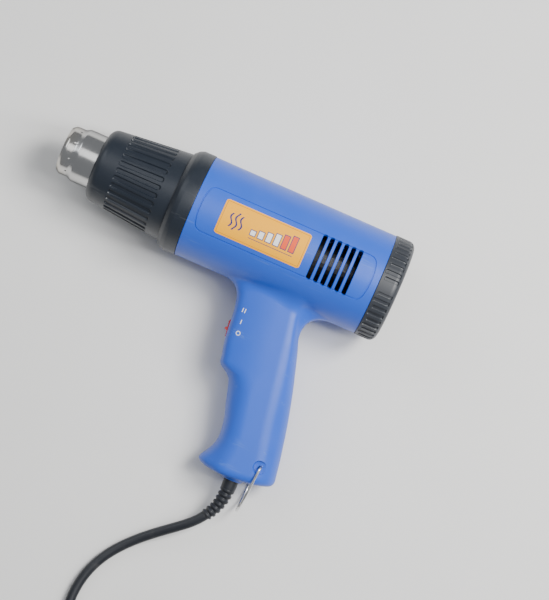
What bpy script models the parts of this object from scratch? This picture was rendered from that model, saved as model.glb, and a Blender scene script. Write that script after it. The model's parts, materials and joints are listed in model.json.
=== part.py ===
"""Heat gun: moulded pistol-grip housing, steel nozzle in a ribbed guard, fan, heater, switch, bail and cord.

The gun is drawn in its own frame, called the gun frame: X runs along the barrel with the nozzle at -X and
the rear face at 0, +Y is the top of the barrel, the grip hangs to -Y, and +Z is the gun's left side. The
empty "gun_frame" then lays the gun on its right side on the floor, z = 0, rolled until the barrel and the
bail both touch it.
The free cord, its coil and its plug are drawn straight in world coordinates, on that floor.
"""

import math

import bmesh
import bpy
from mathutils import Matrix, Vector

MM = 0.001
GAP = 0.3 * MM  # clearance kept between pieces that touch

# How the gun lies on the floor
RIM_RADIUS = 36.9 * MM  # collar and rear cap, what the barrel rolls on
LIE_ANGLE = math.radians(6.47)  # roll about the barrel, until the bail touches the floor
LIE_SHIFT = Vector((124.0 * MM, 78.06 * MM, RIM_RADIUS))

# Barrel
BARREL_RADIUS = 36.4 * MM
WALL = 2.2 * MM
BARREL_REAR_X = -15.0 * MM
BARREL_FRONT_X = -149.5 * MM
BARREL_SEGMENTS = 48
SEAM_GAP = 0.15 * MM  # each shell stops this far from the seam plane

# Side panel and its vents
PANEL_HALF_HEIGHT = 16.4 * MM
VENT_COUNT = 6
VENT_PITCH = 5.2 * MM
VENT_WIDTH = 2.9 * MM
VENT_FIRST_X = -59.6 * MM
LABEL_X = (-130.0 * MM, -67.7 * MM)
LABEL_HALF_ANGLE = math.radians(20.0)
LABEL_INNER_RADIUS = 36.45 * MM
LABEL_OUTER_RADIUS = 36.7 * MM

# Grip: (y, x) down the front and down the rear edge, without the fillets into the barrel
GRIP_FRONT = [(-25, -102.3), (-50, -98), (-88, -91.5), (-91.5, -91), (-93.5, -89), (-95.5, -86),
              (-98, -82.8), (-101, -80.8), (-105, -79.5), (-117, -76), (-130, -72.6), (-137, -71.4),
              (-143, -71.6), (-149, -73.8), (-153.5, -77), (-156, -79), (-158, -79.3)]
GRIP_REAR = [(-25, -57.8), (-50, -50.1), (-64, -45), (-80, -40), (-97, -35), (-115, -30.5), (-130, -27),
             (-142, -24.5), (-150, -23.3), (-158, -23.5)]
GRIP_STATIONS = [-25, -33, -37, -38.5, -41, -45, -50, -64, -80, -91, -93.5, -95.5, -98, -101, -108, -120,
                 -132, -140, -146, -150, -153.5, -156]
GRIP_HALF_THICKNESS = 16.5 * MM
GRIP_CHAMFER_DEPTH = 11.0 * MM  # side flat stops this far from the front and rear edge
GRIP_CHAMFER_WIDTH = 9.0 * MM
GRIP_CORNER_RADIUS = 5.0 * MM
FRONT_FILLET = 7.0 * MM
REAR_FILLET = 11.5 * MM
GRIP_SOLE_SLOPE = 0.07  # the foot of the grip rises towards the rear
GRIP_SOLE = [(-158.5, 1.2), (-160.0, 3.4), (-160.6, 6.0)]  # (y, how far drawn in) of the foot's rings

# Rear cap
CAP_CORNER_RADIUS = 5.0 * MM
CAP_GRIP_COUNT = 40
CAP_GRIP_DEPTH = 0.8 * MM
GRILLE_SLOTS = 12

# Guard and collar
GUARD_FRONT_X = -223.0 * MM
GUARD_REAR_X = -164.8 * MM
GUARD_FRONT_RADIUS = 26.6 * MM
GUARD_REAR_RADIUS = 32.0 * MM
GUARD_NOSE_RADIUS = 6.5 * MM
GUARD_HOLE_RADIUS = 20.8 * MM
GUARD_FLUTES = 32
FLUTE_X = (-206.8 * MM, -174.8 * MM)
FLUTE_DEPTH = 1.0 * MM

# Nozzle and heater
NOZZLE_TIP_X = -248.0 * MM
NOZZLE_REAR_X = -141.0 * MM
NOZZLE_RADIUS = 19.2 * MM
NOZZLE_LIP_RADIUS = 17.5 * MM
NOZZLE_WALL = 0.6 * MM
HEATER_X = (-234.0 * MM, -150.0 * MM)
HEATER_TURNS = 8

# Fan and motor
FAN_X = -81.0 * MM
FAN_RADIUS = 28.8 * MM
FAN_BLADES = 9
MOTOR_X = (-66.0 * MM, -32.0 * MM)
MOTOR_RADIUS = 14.0 * MM
SHAFT_RADIUS = 1.2 * MM

# Slide switch: s runs up the front of the grip from the OFF position, h stands out of its surface
SWITCH_OFF = Vector((-94.84 * MM, -68.5 * MM, 0.0))
SWITCH_TILT = math.atan2(6.5, 38.0)  # lean of the grip's front from the vertical
SWITCH_TRAVEL = 16.0 * MM
SLIDER_HALF_LENGTH = 6.5 * MM
SLIDER_HALF_WIDTH = 3.6 * MM

# Hanging bail
BAIL_PIVOT = Vector((-37.0 * MM, -146.3 * MM, 0.0))
BAIL_WIRE_RADIUS = 0.9 * MM
BAIL_HALF_WIDTH = GRIP_HALF_THICKNESS + GAP + BAIL_WIRE_RADIUS
BAIL_LEG = 17.0 * MM
BAIL_REST = math.radians(-4.3)  # leans forward at rest
BAIL_SOCKET_RADIUS = 1.3 * MM
BAIL_RECESS_RADIUS = 4.9 * MM

# Cord
CORD_RADIUS = 3.5 * MM
RELIEF_PATH = [(-51.3, -154.5), (-51.3, -163), (-51.2, -170), (-51.9, -178), (-54.0, -185.5), (-57.8, -192.5)]

SCREW_SPOTS = {
    "rear_top": (-27.0, 28.5, -10.0, 12.5),
    "rear_bottom": (-27.0, -28.5, -10.0, 12.5),
    "front_top": (-130.0, 28.5, -10.0, 12.5),
    "front_bottom": (-130.0, -28.5, -10.0, 12.5),
    "grip_middle": (-46.0, -104.0, -11.5, 14.8),
    "grip_foot": (-64.0, -149.0, -11.5, 14.8),
}  # x, y, z of the head's seat, and how far the boss reaches from the seam, all in mm
BOSS_RADIUS = 4.6 * MM
SCREW_HEAD_RADIUS = 2.9 * MM
SCREW_RADIUS = 1.4 * MM


# ---------------------------------------------------------------- helpers

def material(name, colour, roughness, metallic=0.0):
    mat = bpy.data.materials.get(name)
    if mat is None:
        mat = bpy.data.materials.new(name)
        mat.use_nodes = True
        shader = mat.node_tree.nodes["Principled BSDF"]
        shader.inputs["Base Color"].default_value = (*colour, 1.0)
        shader.inputs["Roughness"].default_value = roughness
        shader.inputs["Metallic"].default_value = metallic
    return mat


def blue_plastic():
    return material("blue_plastic", (0.08, 0.19, 0.58), 0.4)


def black_plastic():
    return material("black_plastic", (0.03, 0.035, 0.045), 0.45)


def red_plastic():
    return material("red_plastic", (0.75, 0.05, 0.04), 0.35)


def label_film():
    return material("label_film", (0.95, 0.5, 0.06), 0.35)


def steel():
    return material("steel", (0.72, 0.72, 0.70), 0.2, 1.0)


def brass():
    return material("brass", (0.8, 0.6, 0.25), 0.3, 1.0)


def mica():
    return material("mica", (0.62, 0.55, 0.42), 0.5)


def rubber():
    return material("rubber", (0.025, 0.027, 0.03), 0.6)


def board():
    return material("board", (0.05, 0.25, 0.12), 0.5)


def new_object(name, data, mat=None, origin=(0, 0, 0), parent="gun_frame"):
    obj = bpy.data.objects.new(name, data)
    bpy.context.scene.collection.objects.link(obj)
    if mat is not None:
        data.materials.append(mat)
    obj.location = origin
    if parent:
        obj.parent = bpy.data.objects[parent]
    return obj


def finish_mesh(bm, name):
    bmesh.ops.remove_doubles(bm, verts=bm.verts, dist=1e-7)
    bmesh.ops.recalc_face_normals(bm, faces=bm.faces)
    mesh = bpy.data.meshes.new(name)
    bm.to_mesh(mesh)
    bm.free()
    mesh.shade_smooth()
    mesh.set_sharp_from_angle(angle=math.radians(35))
    return mesh


def part(name, bm, mat, origin=(0, 0, 0), parent="gun_frame"):
    """A visible piece: its object's name is its node's name."""
    return new_object(name, finish_mesh(bm, name), mat, origin, parent)


def cutter(name, bm):
    """A helper solid that only shapes other pieces."""
    bmesh.ops.remove_doubles(bm, verts=bm.verts, dist=1e-7)
    bmesh.ops.triangulate(bm, faces=bm.faces)
    obj = new_object("cut_" + name, finish_mesh(bm, name))
    obj.hide_render = True
    obj.display_type = "WIRE"
    return obj


def boolean(obj, other, operation, solver="EXACT"):
    mod = obj.modifiers.new(other.name, "BOOLEAN")
    mod.operation = operation
    mod.object = other
    mod.solver = solver


def ring_solid(bm, rings, closed=False, caps=True):
    """Joins rings of points with quads, and closes the two ends unless the rings themselves form a loop."""
    loops = [[bm.verts.new(p) for p in ring] for ring in rings]
    pairs = list(zip(loops, loops[1:]))
    if closed:
        pairs.append((loops[-1], loops[0]))
    for low, high in pairs:
        for i in range(len(low)):
            j = (i + 1) % len(low)
            bm.faces.new((low[i], low[j], high[j], high[i]))
    if caps and not closed:
        bm.faces.new(loops[0])
        bm.faces.new(list(reversed(loops[-1])))


def turned(bm, profile, segments, closed=True, matrix=None):
    """A solid turned about X from (x, radius) points in mm. A closed profile is a loop clear of the axis."""
    rings = []
    for x, r in profile:
        ring = []
        for i in range(segments):
            a = 2 * math.pi * (i + 0.5) / segments
            p = Vector((x, r * math.cos(a), r * math.sin(a))) * MM
            ring.append(matrix @ p if matrix else p)
        rings.append(ring)
    ring_solid(bm, rings, closed=closed, caps=False)


def cylinder(bm, start, end, radius, segments=16, end_radius=None):
    """A round bar between two points, in metres."""
    start, end = Vector(start), Vector(end)
    turn = (end - start).to_track_quat("Z", "Y")
    rings = []
    for centre, r in ((start, radius), (end, radius if end_radius is None else end_radius)):
        angles = [2 * math.pi * (i + 0.5) / segments for i in range(segments)]
        rings.append([centre + turn @ Vector((r * math.cos(a), r * math.sin(a), 0)) for a in angles])
    ring_solid(bm, rings)


def box(bm, low, high, matrix=None):
    """A box between two corners in metres, moved by the matrix."""
    size = Vector(high) - Vector(low)
    centre = (Vector(high) + Vector(low)) / 2
    place = (matrix or Matrix()) @ Matrix.Translation(centre) @ Matrix.Diagonal((*size, 1))
    bmesh.ops.create_cube(bm, size=1.0, matrix=place)


def prism(bm, outline, half_width, matrix=None):
    """A flat outline of (u, v) points in metres, from -half_width to +half_width along the third axis."""
    rings = []
    for w in (-half_width, half_width):
        points = [Vector((u, v, w)) for u, v in outline]
        rings.append([matrix @ p if matrix else p for p in points])
    ring_solid(bm, rings)


def wire(name, points, radius, mat, sides=2, origin=(0, 0, 0), parent="gun_frame"):
    """A round wire along points in metres, as a bevelled poly curve with filled ends."""
    curve = bpy.data.curves.new(name, "CURVE")
    curve.dimensions = "3D"
    curve.bevel_depth = radius
    curve.bevel_resolution = sides
    curve.use_fill_caps = True
    spline = curve.splines.new("POLY")
    spline.points.add(len(points) - 1)
    for spot, p in zip(spline.points, points):
        spot.co = (*p, 1.0)
    return new_object(name, curve, mat, origin, parent)


def smooth_path(points, step):
    """A Catmull-Rom curve through the points, read about every step metres."""
    points = [Vector(p) for p in points]
    ends = [2 * points[0] - points[1], *points, 2 * points[-1] - points[-2]]
    path = []
    for a, b, c, d in zip(ends, ends[1:], ends[2:], ends[3:]):
        count = max(1, round((c - b).length / step))
        for i in range(count):
            t = i / count
            path.append(0.5 * (2 * b + (c - a) * t + (2 * a - 5 * b + 4 * c - d) * t ** 2
                               + (3 * b - a - 3 * c + d) * t ** 3))
    path.append(points[-1])
    return path


def read_curve(points, y):
    """x at height y on a polyline of (y, x) points that runs downwards."""
    for (y0, x0), (y1, x1) in zip(points, points[1:]):
        if y >= y1:
            return x0 + (x1 - x0) * (y - y0) / (y1 - y0)
    return points[-1][1]


def fillet_flare(y, radius):
    """How far a fillet of that radius into the underside of the barrel widens the grip at height y."""
    drop = -BARREL_RADIUS - y  # distance below the barrel
    if drop >= radius:
        return 0.0
    reach = radius - max(drop, 0.0)
    return radius - math.sqrt(radius ** 2 - reach ** 2)


# ---------------------------------------------------------------- housing

def grip_section(y_mm, inset):
    """One horizontal slice of the grip: a rounded octagon, drawn in by inset metres."""
    y = y_mm * MM
    front = read_curve(GRIP_FRONT, y_mm) * MM - fillet_flare(y, FRONT_FILLET) + inset
    rear = read_curve(GRIP_REAR, y_mm) * MM + fillet_flare(y, REAR_FILLET) - inset
    middle, depth = (front + rear) / 2, (rear - front) / 2
    width = GRIP_HALF_THICKNESS - inset
    cut_u, cut_w = GRIP_CHAMFER_DEPTH, GRIP_CHAMFER_WIDTH
    quarter = [Vector((depth, width - cut_w)), Vector((depth - cut_u, width))]
    corners = quarter + [Vector((-u, w)) for u, w in reversed(quarter)]
    corners += [Vector((-u, -w)) for u, w in corners]
    slope = GRIP_SOLE_SLOPE * min(max((-130 - y_mm) / 20, 0.0), 1.0)
    points = []
    for i, here in enumerate(corners):
        for other in (corners[i - 1], corners[(i + 1) % len(corners)]):
            away = other - here
            points.append(here + away * min(0.4, 0.55 * GRIP_CORNER_RADIUS / away.length))
    return [Vector((middle + u, y + slope * u, w)) for u, w in points]


def grip_solid(inset, foot):
    """The grip's outer form, or with an inset its hollow. The foot closes it at the bottom."""
    bm = bmesh.new()
    rings = [grip_section(y, inset) for y in GRIP_STATIONS]
    for y, draw_in in foot:
        rings.append([p + Vector((0, (y + 156) * MM, 0)) for p in grip_section(-156, inset + draw_in * MM)])
    ring_solid(bm, rings)
    return bm


def barrel_profile(radius, rear_x, front_x):
    return [(rear_x / MM, 0), (rear_x / MM, radius / MM), (front_x / MM, radius / MM), (front_x / MM, 0)]


def vent_cutters():
    bm = bmesh.new()
    for side in (-1, 1):
        for i in range(VENT_COUNT):
            x = VENT_FIRST_X + i * VENT_PITCH
            z = sorted((side * 22 * MM, side * 45 * MM))
            box(bm, (x - VENT_WIDTH / 2, -PANEL_HALF_HEIGHT, z[0]),
                (x + VENT_WIDTH / 2, PANEL_HALF_HEIGHT, z[1]))
    return cutter("vents", bm)


def switch_frame():
    """Places (h, s, w): h out of the grip's front surface, s up it from OFF, w across."""
    outward = Vector((-math.cos(SWITCH_TILT), -math.sin(SWITCH_TILT), 0))
    up = Vector((-math.sin(SWITCH_TILT), math.cos(SWITCH_TILT), 0))
    across = outward.cross(up)
    turn = Matrix((outward, up, across)).transposed().to_4x4()
    return Matrix.Translation(SWITCH_OFF) @ turn


def housing_blank():
    """Both shells as one hollow moulding, before it is parted along the seam."""
    bm = bmesh.new()
    turned(bm, barrel_profile(BARREL_RADIUS, BARREL_REAR_X, BARREL_FRONT_X), BARREL_SEGMENTS, closed=False)
    blank = cutter("housing_blank", bm)
    boolean(blank, cutter("grip_outer", grip_solid(0.0, GRIP_SOLE)), "UNION", "MANIFOLD")

    boss = bmesh.new()
    cylinder(boss, (-51.3 * MM, -157 * MM, 0), (-51.3 * MM, -163 * MM, 0), 9.2 * MM, 24, end_radius=7.4 * MM)
    boolean(blank, cutter("cord_boss", boss), "UNION", "MANIFOLD")

    bore = bmesh.new()
    turned(bore, barrel_profile(BARREL_RADIUS - WALL, BARREL_REAR_X + 5 * MM, BARREL_FRONT_X - 5 * MM),
           BARREL_SEGMENTS, closed=False)
    boolean(blank, cutter("barrel_bore", bore), "DIFFERENCE", "MANIFOLD")
    hollow_foot = [(-157.6, 1.0)]
    boolean(blank, cutter("grip_hollow", grip_solid(WALL, hollow_foot)), "DIFFERENCE", "MANIFOLD")
    boolean(blank, vent_cutters(), "DIFFERENCE", "MANIFOLD")

    slot = bmesh.new()
    low = (-8 * MM, -SLIDER_HALF_LENGTH - 0.7 * MM, -SLIDER_HALF_WIDTH - GAP)
    high = (6 * MM, SLIDER_HALF_LENGTH + SWITCH_TRAVEL + 0.7 * MM, SLIDER_HALF_WIDTH + GAP)
    box(slot, low, high, switch_frame())
    boolean(blank, cutter("switch_slot", slot), "DIFFERENCE", "MANIFOLD")

    hole = bmesh.new()
    cylinder(hole, (-51.3 * MM, -150 * MM, 0), (-51.3 * MM, -170 * MM, 0), 5.6 * MM, 24)
    boolean(blank, cutter("cord_hole", hole), "DIFFERENCE", "MANIFOLD")
    return blank


def stepped(bm, spot, side, profile):
    """A stepped pin across the gun at the spot: (mm from the seam, radius) from the inside out."""
    rings = []
    for z, r in profile:
        angles = [side * 2 * math.pi * (i + 0.5) / 16 for i in range(16)]
        rings.append([spot + Vector((r * math.cos(a), r * math.sin(a), side * z * MM)) for a in angles])
    ring_solid(bm, rings)


def housing_shell(name, side, blank):
    """One half of the housing, side +1 left and -1 right, with its screw bosses and the bail's socket."""
    bm = bmesh.new()
    z = sorted((side * SEAM_GAP, side * 60 * MM))
    box(bm, (-200 * MM, -200 * MM, z[0]), (20 * MM, 60 * MM, z[1]))
    shell = part(name, bm, blue_plastic())
    boolean(shell, blank, "INTERSECT", "MANIFOLD")

    bosses, holes = bmesh.new(), bmesh.new()
    for x, y, seat, reach in SCREW_SPOTS.values():
        spot = Vector((x, y, 0)) * MM
        stepped(bosses, spot, side, [(SEAM_GAP / MM, BOSS_RADIUS), (reach, BOSS_RADIUS)])
        shank, head = SCREW_RADIUS + GAP, SCREW_HEAD_RADIUS + GAP
        if side < 0:
            stepped(holes, spot, side, [(-1, shank), (-seat, shank), (-seat, head), (40, head)])
        else:
            stepped(holes, spot, side, [(-1, shank), (9, shank)])
    stepped(bosses, BAIL_PIVOT, side, [(9.5, 6.8 * MM), (15.6, 6.8 * MM)])
    stepped(holes, BAIL_PIVOT, side, [(8, BAIL_SOCKET_RADIUS), (13.4, BAIL_SOCKET_RADIUS),
                                      (13.4, BAIL_RECESS_RADIUS), (30, BAIL_RECESS_RADIUS)])
    boolean(shell, cutter(name + "_bosses", bosses), "UNION", "MANIFOLD")
    boolean(shell, cutter(name + "_holes", holes), "DIFFERENCE", "MANIFOLD")
    return shell


def housing_screws():
    for name, (x, y, seat, _) in SCREW_SPOTS.items():
        bm = bmesh.new()
        profile = [(-2.2, 0), (-2.2, 2.2), (-1.4, 2.9), (0, 2.9), (0, 1.4), (15.5, 1.4), (17, 0.5), (17, 0)]
        turned(bm, profile, 12, closed=False, matrix=Matrix.Rotation(math.radians(-90), 4, "Y"))
        part("screw_" + name, bm, steel(), origin=Vector((x, y, seat - GAP / MM)) * MM)


def side_label(name, side):
    """A film that follows the barrel, with the barrel's own facets."""
    bm = bmesh.new()
    facet = 2 * math.pi / BARREL_SEGMENTS
    steps = round(2 * LABEL_HALF_ANGLE / facet)
    first = side * math.pi / 2 - facet * (steps / 2)
    rings = []
    for i in range(steps + 1):
        a = first + i * facet
        corners = [(LABEL_X[0], LABEL_INNER_RADIUS), (LABEL_X[1], LABEL_INNER_RADIUS),
                   (LABEL_X[1], LABEL_OUTER_RADIUS), (LABEL_X[0], LABEL_OUTER_RADIUS)]
        rings.append([Vector((x, r * math.cos(a), r * math.sin(a))) for x, r in corners])
    ring_solid(bm, rings)
    part(name, bm, label_film())


# ---------------------------------------------------------------- barrel fittings

def arc(centre_x, centre_r, radius, start, end, count):
    """(x, radius) points in mm on an arc, angles in degrees from +X towards +radius."""
    angles = [math.radians(start + (end - start) * i / count) for i in range(count + 1)]
    return [(centre_x + radius * math.cos(a), centre_r + radius * math.sin(a)) for a in angles]


def sink_faces(bm, wanted, depth):
    """Pushes each wanted face straight towards the barrel's axis, which leaves a separate recess for each."""
    faces = [f for f in bm.faces if wanted(f)]
    made = bmesh.ops.extrude_discrete_faces(bm, faces=faces)["faces"]
    for v in {v for f in made for v in f.verts}:
        outward = Vector((0, v.co.y, v.co.z))
        v.co -= outward.normalized() * depth


def sector_of(face, segments):
    centre = face.calc_center_median()
    return int(math.floor(math.atan2(centre.z, centre.y) / (2 * math.pi / segments) + 0.5)) % segments


def rear_cap():
    r, rim = CAP_CORNER_RADIUS / MM, RIM_RADIUS / MM
    corner = arc(-r, rim - r, r, 0, 90, 4)
    profile = [(-1.5, 0), (-1.5, 26.5), (0, 27.0), *corner, (-12, rim), (-14.7, rim), (-14.7, 33.8),
               (-21, 33.8), (-21, 31.8), (-4, 31.8), (-4, 0)]
    bm = bmesh.new()
    segments = 2 * CAP_GRIP_COUNT
    turned(bm, profile, segments, closed=False)

    def is_grip(face):
        centre = face.calc_center_median()
        on_band = -12 * MM < centre.x < -r * MM and math.hypot(centre.y, centre.z) > 36 * MM
        return on_band and sector_of(face, segments) % 2 == 0

    sink_faces(bm, is_grip, CAP_GRIP_DEPTH)
    cap = part("rear_cap", bm, black_plastic())
    slots = bmesh.new()
    for i in range(GRILLE_SLOTS):
        turn = Matrix.Rotation(2 * math.pi * i / GRILLE_SLOTS, 4, "X")
        box(slots, (-8 * MM, 8 * MM, -1.6 * MM), (2 * MM, 24 * MM, 1.6 * MM), turn)
    boolean(cap, cutter("grille_slots", slots), "DIFFERENCE")


def intake_screen():
    bm = bmesh.new()
    turned(bm, [(-5.0, 0), (-5.0, 31.2), (-4.4, 31.2), (-4.4, 0)], 32, closed=False)
    part("intake_screen", bm, steel())


def front_collar():
    rim = RIM_RADIUS / MM
    profile = [(-164.5, 30.2), (-164.5, 32.8), (-161.6, 35.5), (-149.8, rim), (-149.8, 33.8), (-143, 33.8),
               (-143, 31.6), (-156, 31.6), (-157, 30.2)]
    bm = bmesh.new()
    turned(bm, profile, BARREL_SEGMENTS)
    part("front_collar", bm, black_plastic())


def front_guard():
    nose = GUARD_NOSE_RADIUS / MM
    nose_x, nose_r = GUARD_FRONT_X / MM + nose, GUARD_FRONT_RADIUS / MM - nose
    rear_x, rear_r = GUARD_REAR_X / MM, GUARD_REAR_RADIUS / MM
    front_r = GUARD_FRONT_RADIUS / MM

    def cone(x):
        return front_r + (rear_r - front_r) * (x - nose_x) / (rear_x - nose_x)

    flute = [(x / MM, cone(x / MM)) for x in FLUTE_X]
    profile = [(-222.9, 20.8), *arc(nose_x, nose_r, nose, 165, 90, 4), *flute, (rear_x, rear_r),
               (rear_x, 29.8), (-158.5, 29.8), (-158.5, 27.8), (-167, 27.8), (-170, 29.0), (-215.5, 24.2),
               (-220.4, 20.8)]
    bm = bmesh.new()
    segments = 2 * GUARD_FLUTES
    turned(bm, profile, segments)

    def is_flute(face):
        centre = face.calc_center_median()
        outside = math.hypot(centre.y, centre.z) > cone(centre.x / MM) * MM - 0.5 * MM
        return outside and FLUTE_X[0] < centre.x < FLUTE_X[1] and sector_of(face, segments) % 2 == 0

    sink_faces(bm, is_flute, FLUTE_DEPTH)
    part("front_guard", bm, black_plastic())


def nozzle():
    r, lip, t = NOZZLE_RADIUS / MM, NOZZLE_LIP_RADIUS / MM, NOZZLE_WALL / MM
    outer = [(-141, r), (-236.5, r), (-240, lip), (-245, lip), (-247.3, lip - 0.8), (-248, lip - 2.2)]
    inner = [(-247.5, lip - 2.3), (-244.8, lip - t), (-240.2, lip - t), (-236.6, r - t), (-141, r - t)]
    bm = bmesh.new()
    turned(bm, outer + inner, 40)
    part("nozzle", bm, steel())


def nozzle_flange():
    bm = bmesh.new()
    turned(bm, [(-146.2, 19.6), (-146.2, 31.2), (-145.0, 31.2), (-145.0, 19.6)], 40)
    part("nozzle_flange", bm, steel())


# ---------------------------------------------------------------- heater

def mica_sleeve():
    bm = bmesh.new()
    turned(bm, [(-235.5, 17.6), (-235.5, 18.2), (-142, 18.2), (-142, 17.6)], 32)
    part("mica_sleeve", bm, mica())


def mica_plate(name, slot_at_front, turn):
    """One plate of the cross that carries the heating coil. Each has a slot to the middle for the other."""
    front, rear = HEATER_X
    if not slot_at_front:
        front, rear = rear, front
    middle, half, slot = (front + rear) / 2, 13.6 * MM, 0.7 * MM
    outline = [(front, slot), (front, half), (rear, half), (rear, -half), (front, -half), (front, -slot),
               (middle, -slot), (middle, slot)]
    bm = bmesh.new()
    prism(bm, outline, 0.4 * MM, Matrix.Rotation(turn, 4, "X"))
    part(name, bm, mica())


def heater_coil():
    radius, points = 15.4 * MM, []
    steps = HEATER_TURNS * 12
    first, last = HEATER_X[0] + 3 * MM, HEATER_X[1] - 5 * MM
    for i in range(steps + 1):
        a = 2 * math.pi * i / 12
        points.append((first + (last - first) * i / steps, radius * math.cos(a), radius * math.sin(a)))
    wire("heater_coil", points, 1.2 * MM, material("nichrome", (0.45, 0.4, 0.36), 0.4, 1.0), sides=1)


def heater_terminals():
    for i, z in enumerate((-9, 9)):
        bm = bmesh.new()
        cylinder(bm, (-144.7 * MM, -25.5 * MM, z * MM), (-139.5 * MM, -25.5 * MM, z * MM), 1.6 * MM, 12)
        part(f"heater_terminal_{i + 1}", bm, brass())


def thermal_cutout():
    bm = bmesh.new()
    cylinder(bm, (-176 * MM, 6 * MM, 3 * MM), (-162 * MM, 6 * MM, 3 * MM), 2.0 * MM, 12)
    part("thermal_cutout", bm, steel())


# ---------------------------------------------------------------- fan and motor

def air_duct():
    profile = [(-92.5, 31.6), (-98, 31.6), (-132, 20.0), (-140.5, 20.0), (-140.5, 18.7), (-131.5, 18.7),
               (-97.5, 30.2), (-92.5, 30.2)]
    bm = bmesh.new()
    turned(bm, profile, 36)
    part("air_duct", bm, black_plastic())


def fan():
    bm = bmesh.new()
    turned(bm, [(7, 1.5), (7, 7), (5, 8), (-6, 8), (-7, 5), (-7, 1.5)], 24)
    wheel = part("fan", bm, black_plastic(), origin=(FAN_X, 0, 0))
    blades = bmesh.new()
    for i in range(FAN_BLADES):
        turn = Matrix.Rotation(2 * math.pi * i / FAN_BLADES, 4, "X")
        rings = []
        for r, pitch in ((7.2, 0.95), (18.0, 0.7), (FAN_RADIUS / MM, 0.5)):
            chord, thick = 6.2 - 0.02 * r, 0.6
            along = Vector((math.sin(pitch), 0, math.cos(pitch)))
            across = Vector((math.cos(pitch), 0, -math.sin(pitch)))
            corners = [along * chord + across * thick, -along * chord + across * thick,
                       -along * chord - across * thick, along * chord - across * thick]
            rings.append([turn @ ((c + Vector((0, r, 0))) * MM) for c in corners])
        ring_solid(blades, rings)
    blade_set = cutter("fan_blades", blades)
    blade_set.location = (FAN_X, 0, 0)
    boolean(wheel, blade_set, "UNION")


def motor_mount():
    """The ring round the fan, with four arms to the seat of the motor."""
    bm = bmesh.new()
    turned(bm, [(-92, 30.2), (-92, 33.5), (-66.5, 33.5), (-66.5, 30.2)], 36)
    mount = part("motor_mount", bm, black_plastic())
    seat = bmesh.new()
    turned(seat, [(-69.5, 5), (-69.5, 17), (-57, 17), (-57, 14.5), (-66.5, 14.5), (-66.5, 5)], 28)
    seat_obj = cutter("motor_seat", seat)
    arms = bmesh.new()
    for i in range(4):
        turn = Matrix.Rotation(math.radians(45 + 90 * i), 4, "X")
        box(arms, (-69.2 * MM, 15.5 * MM, -2 * MM), (-66.8 * MM, 32 * MM, 2 * MM), turn)
    boolean(seat_obj, cutter("motor_arms", arms), "UNION")
    boolean(mount, seat_obj, "UNION")


def motor():
    front, rear, r = MOTOR_X[0] / MM, MOTOR_X[1] / MM, MOTOR_RADIUS / MM
    can = bmesh.new()
    turned(can, [(front, 1.5), (front, r), (rear, r), (rear, r - 1), (front + 1, r - 1), (front + 1, 1.5)],
           28)
    part("motor_can", can, steel())

    bell = bmesh.new()
    turned(bell, [(rear - 3, 1.5), (rear - 3, r - 1.4), (rear + 0.3, r - 1.4), (rear + 0.3, r), (rear + 3, r),
                  (rear + 4.5, 6), (rear + 4.5, 1.5)], 28)
    part("motor_end_bell", bell, black_plastic())

    rotor = bmesh.new()
    shaft, core = SHAFT_RADIUS / MM, 8.6
    profile = [(0, 0), (0, shaft), (25, shaft), (25, core), (50, core), (50, shaft), (57.5, shaft), (57.5, 0)]
    turned(rotor, profile, 20, closed=False)
    part("motor_rotor", rotor, steel(), origin=(-88.5 * MM, 0, 0))

    for name, middle in (("motor_magnet_left", 90), ("motor_magnet_right", -90)):
        magnet = bmesh.new()
        rings = []
        for i in range(9):
            a = math.radians(middle - 60 + 15 * i)
            corners = [(front + 4, 9.3), (rear - 5, 9.3), (rear - 5, 12.6), (front + 4, 12.6)]
            rings.append([Vector((x, q * math.cos(a), q * math.sin(a))) * MM for x, q in corners])
        ring_solid(magnet, rings)
        part(name, magnet, material("ferrite", (0.1, 0.1, 0.11), 0.6))


def rectifier():
    bm = bmesh.new()
    turned(bm, [(-26.5, 2.4), (-26.5, 14.5), (-24.9, 14.5), (-24.9, 2.4)], 24)
    part("rectifier_board", bm, board())
    for i in range(4):
        a = math.radians(45 + 90 * i)
        y, z = 9 * MM * math.cos(a), 9 * MM * math.sin(a)
        diode = bmesh.new()
        cylinder(diode, (-23.0 * MM, y, z - 2.6 * MM), (-23.0 * MM, y, z + 2.6 * MM), 1.5 * MM, 10)
        part(f"diode_{i + 1}", diode, black_plastic())


# ---------------------------------------------------------------- switch, cord entry and wiring

def switch():
    body = bmesh.new()
    low, high = (-17 * MM, -12 * MM, -5 * MM), (-5.5 * MM, 28 * MM, 5 * MM)
    box(body, low, high, switch_frame())
    part("switch_body", body, black_plastic())

    edge = SLIDER_HALF_LENGTH / MM
    half = [(-5.0, edge), (0.7, edge), (1.1, edge - 1), (1.3, 2.2), (2.2, 1.2), (3.0, 0.5)]
    outline = [(h * MM, s * MM) for h, s in half] + [(h * MM, -s * MM) for h, s in reversed(half)]
    slider = bmesh.new()
    turn = switch_frame().to_3x3().to_4x4()
    prism(slider, outline, SLIDER_HALF_WIDTH, turn)
    part("switch_slider", slider, red_plastic(), origin=SWITCH_OFF)

    for i, s in enumerate((-6, 8, 22)):
        tab = bmesh.new()
        box(tab, (-22.3 * MM, (s - 2.5) * MM, -0.4 * MM), (-17.3 * MM, (s + 2.5) * MM, 0.4 * MM),
            switch_frame())
        part(f"switch_terminal_{i + 1}", tab, brass())


def relief_radius(t):
    """Radius of the strain relief at share t of its length outside the grip, in mm."""
    return 5.3 - 0.9 * t


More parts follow.
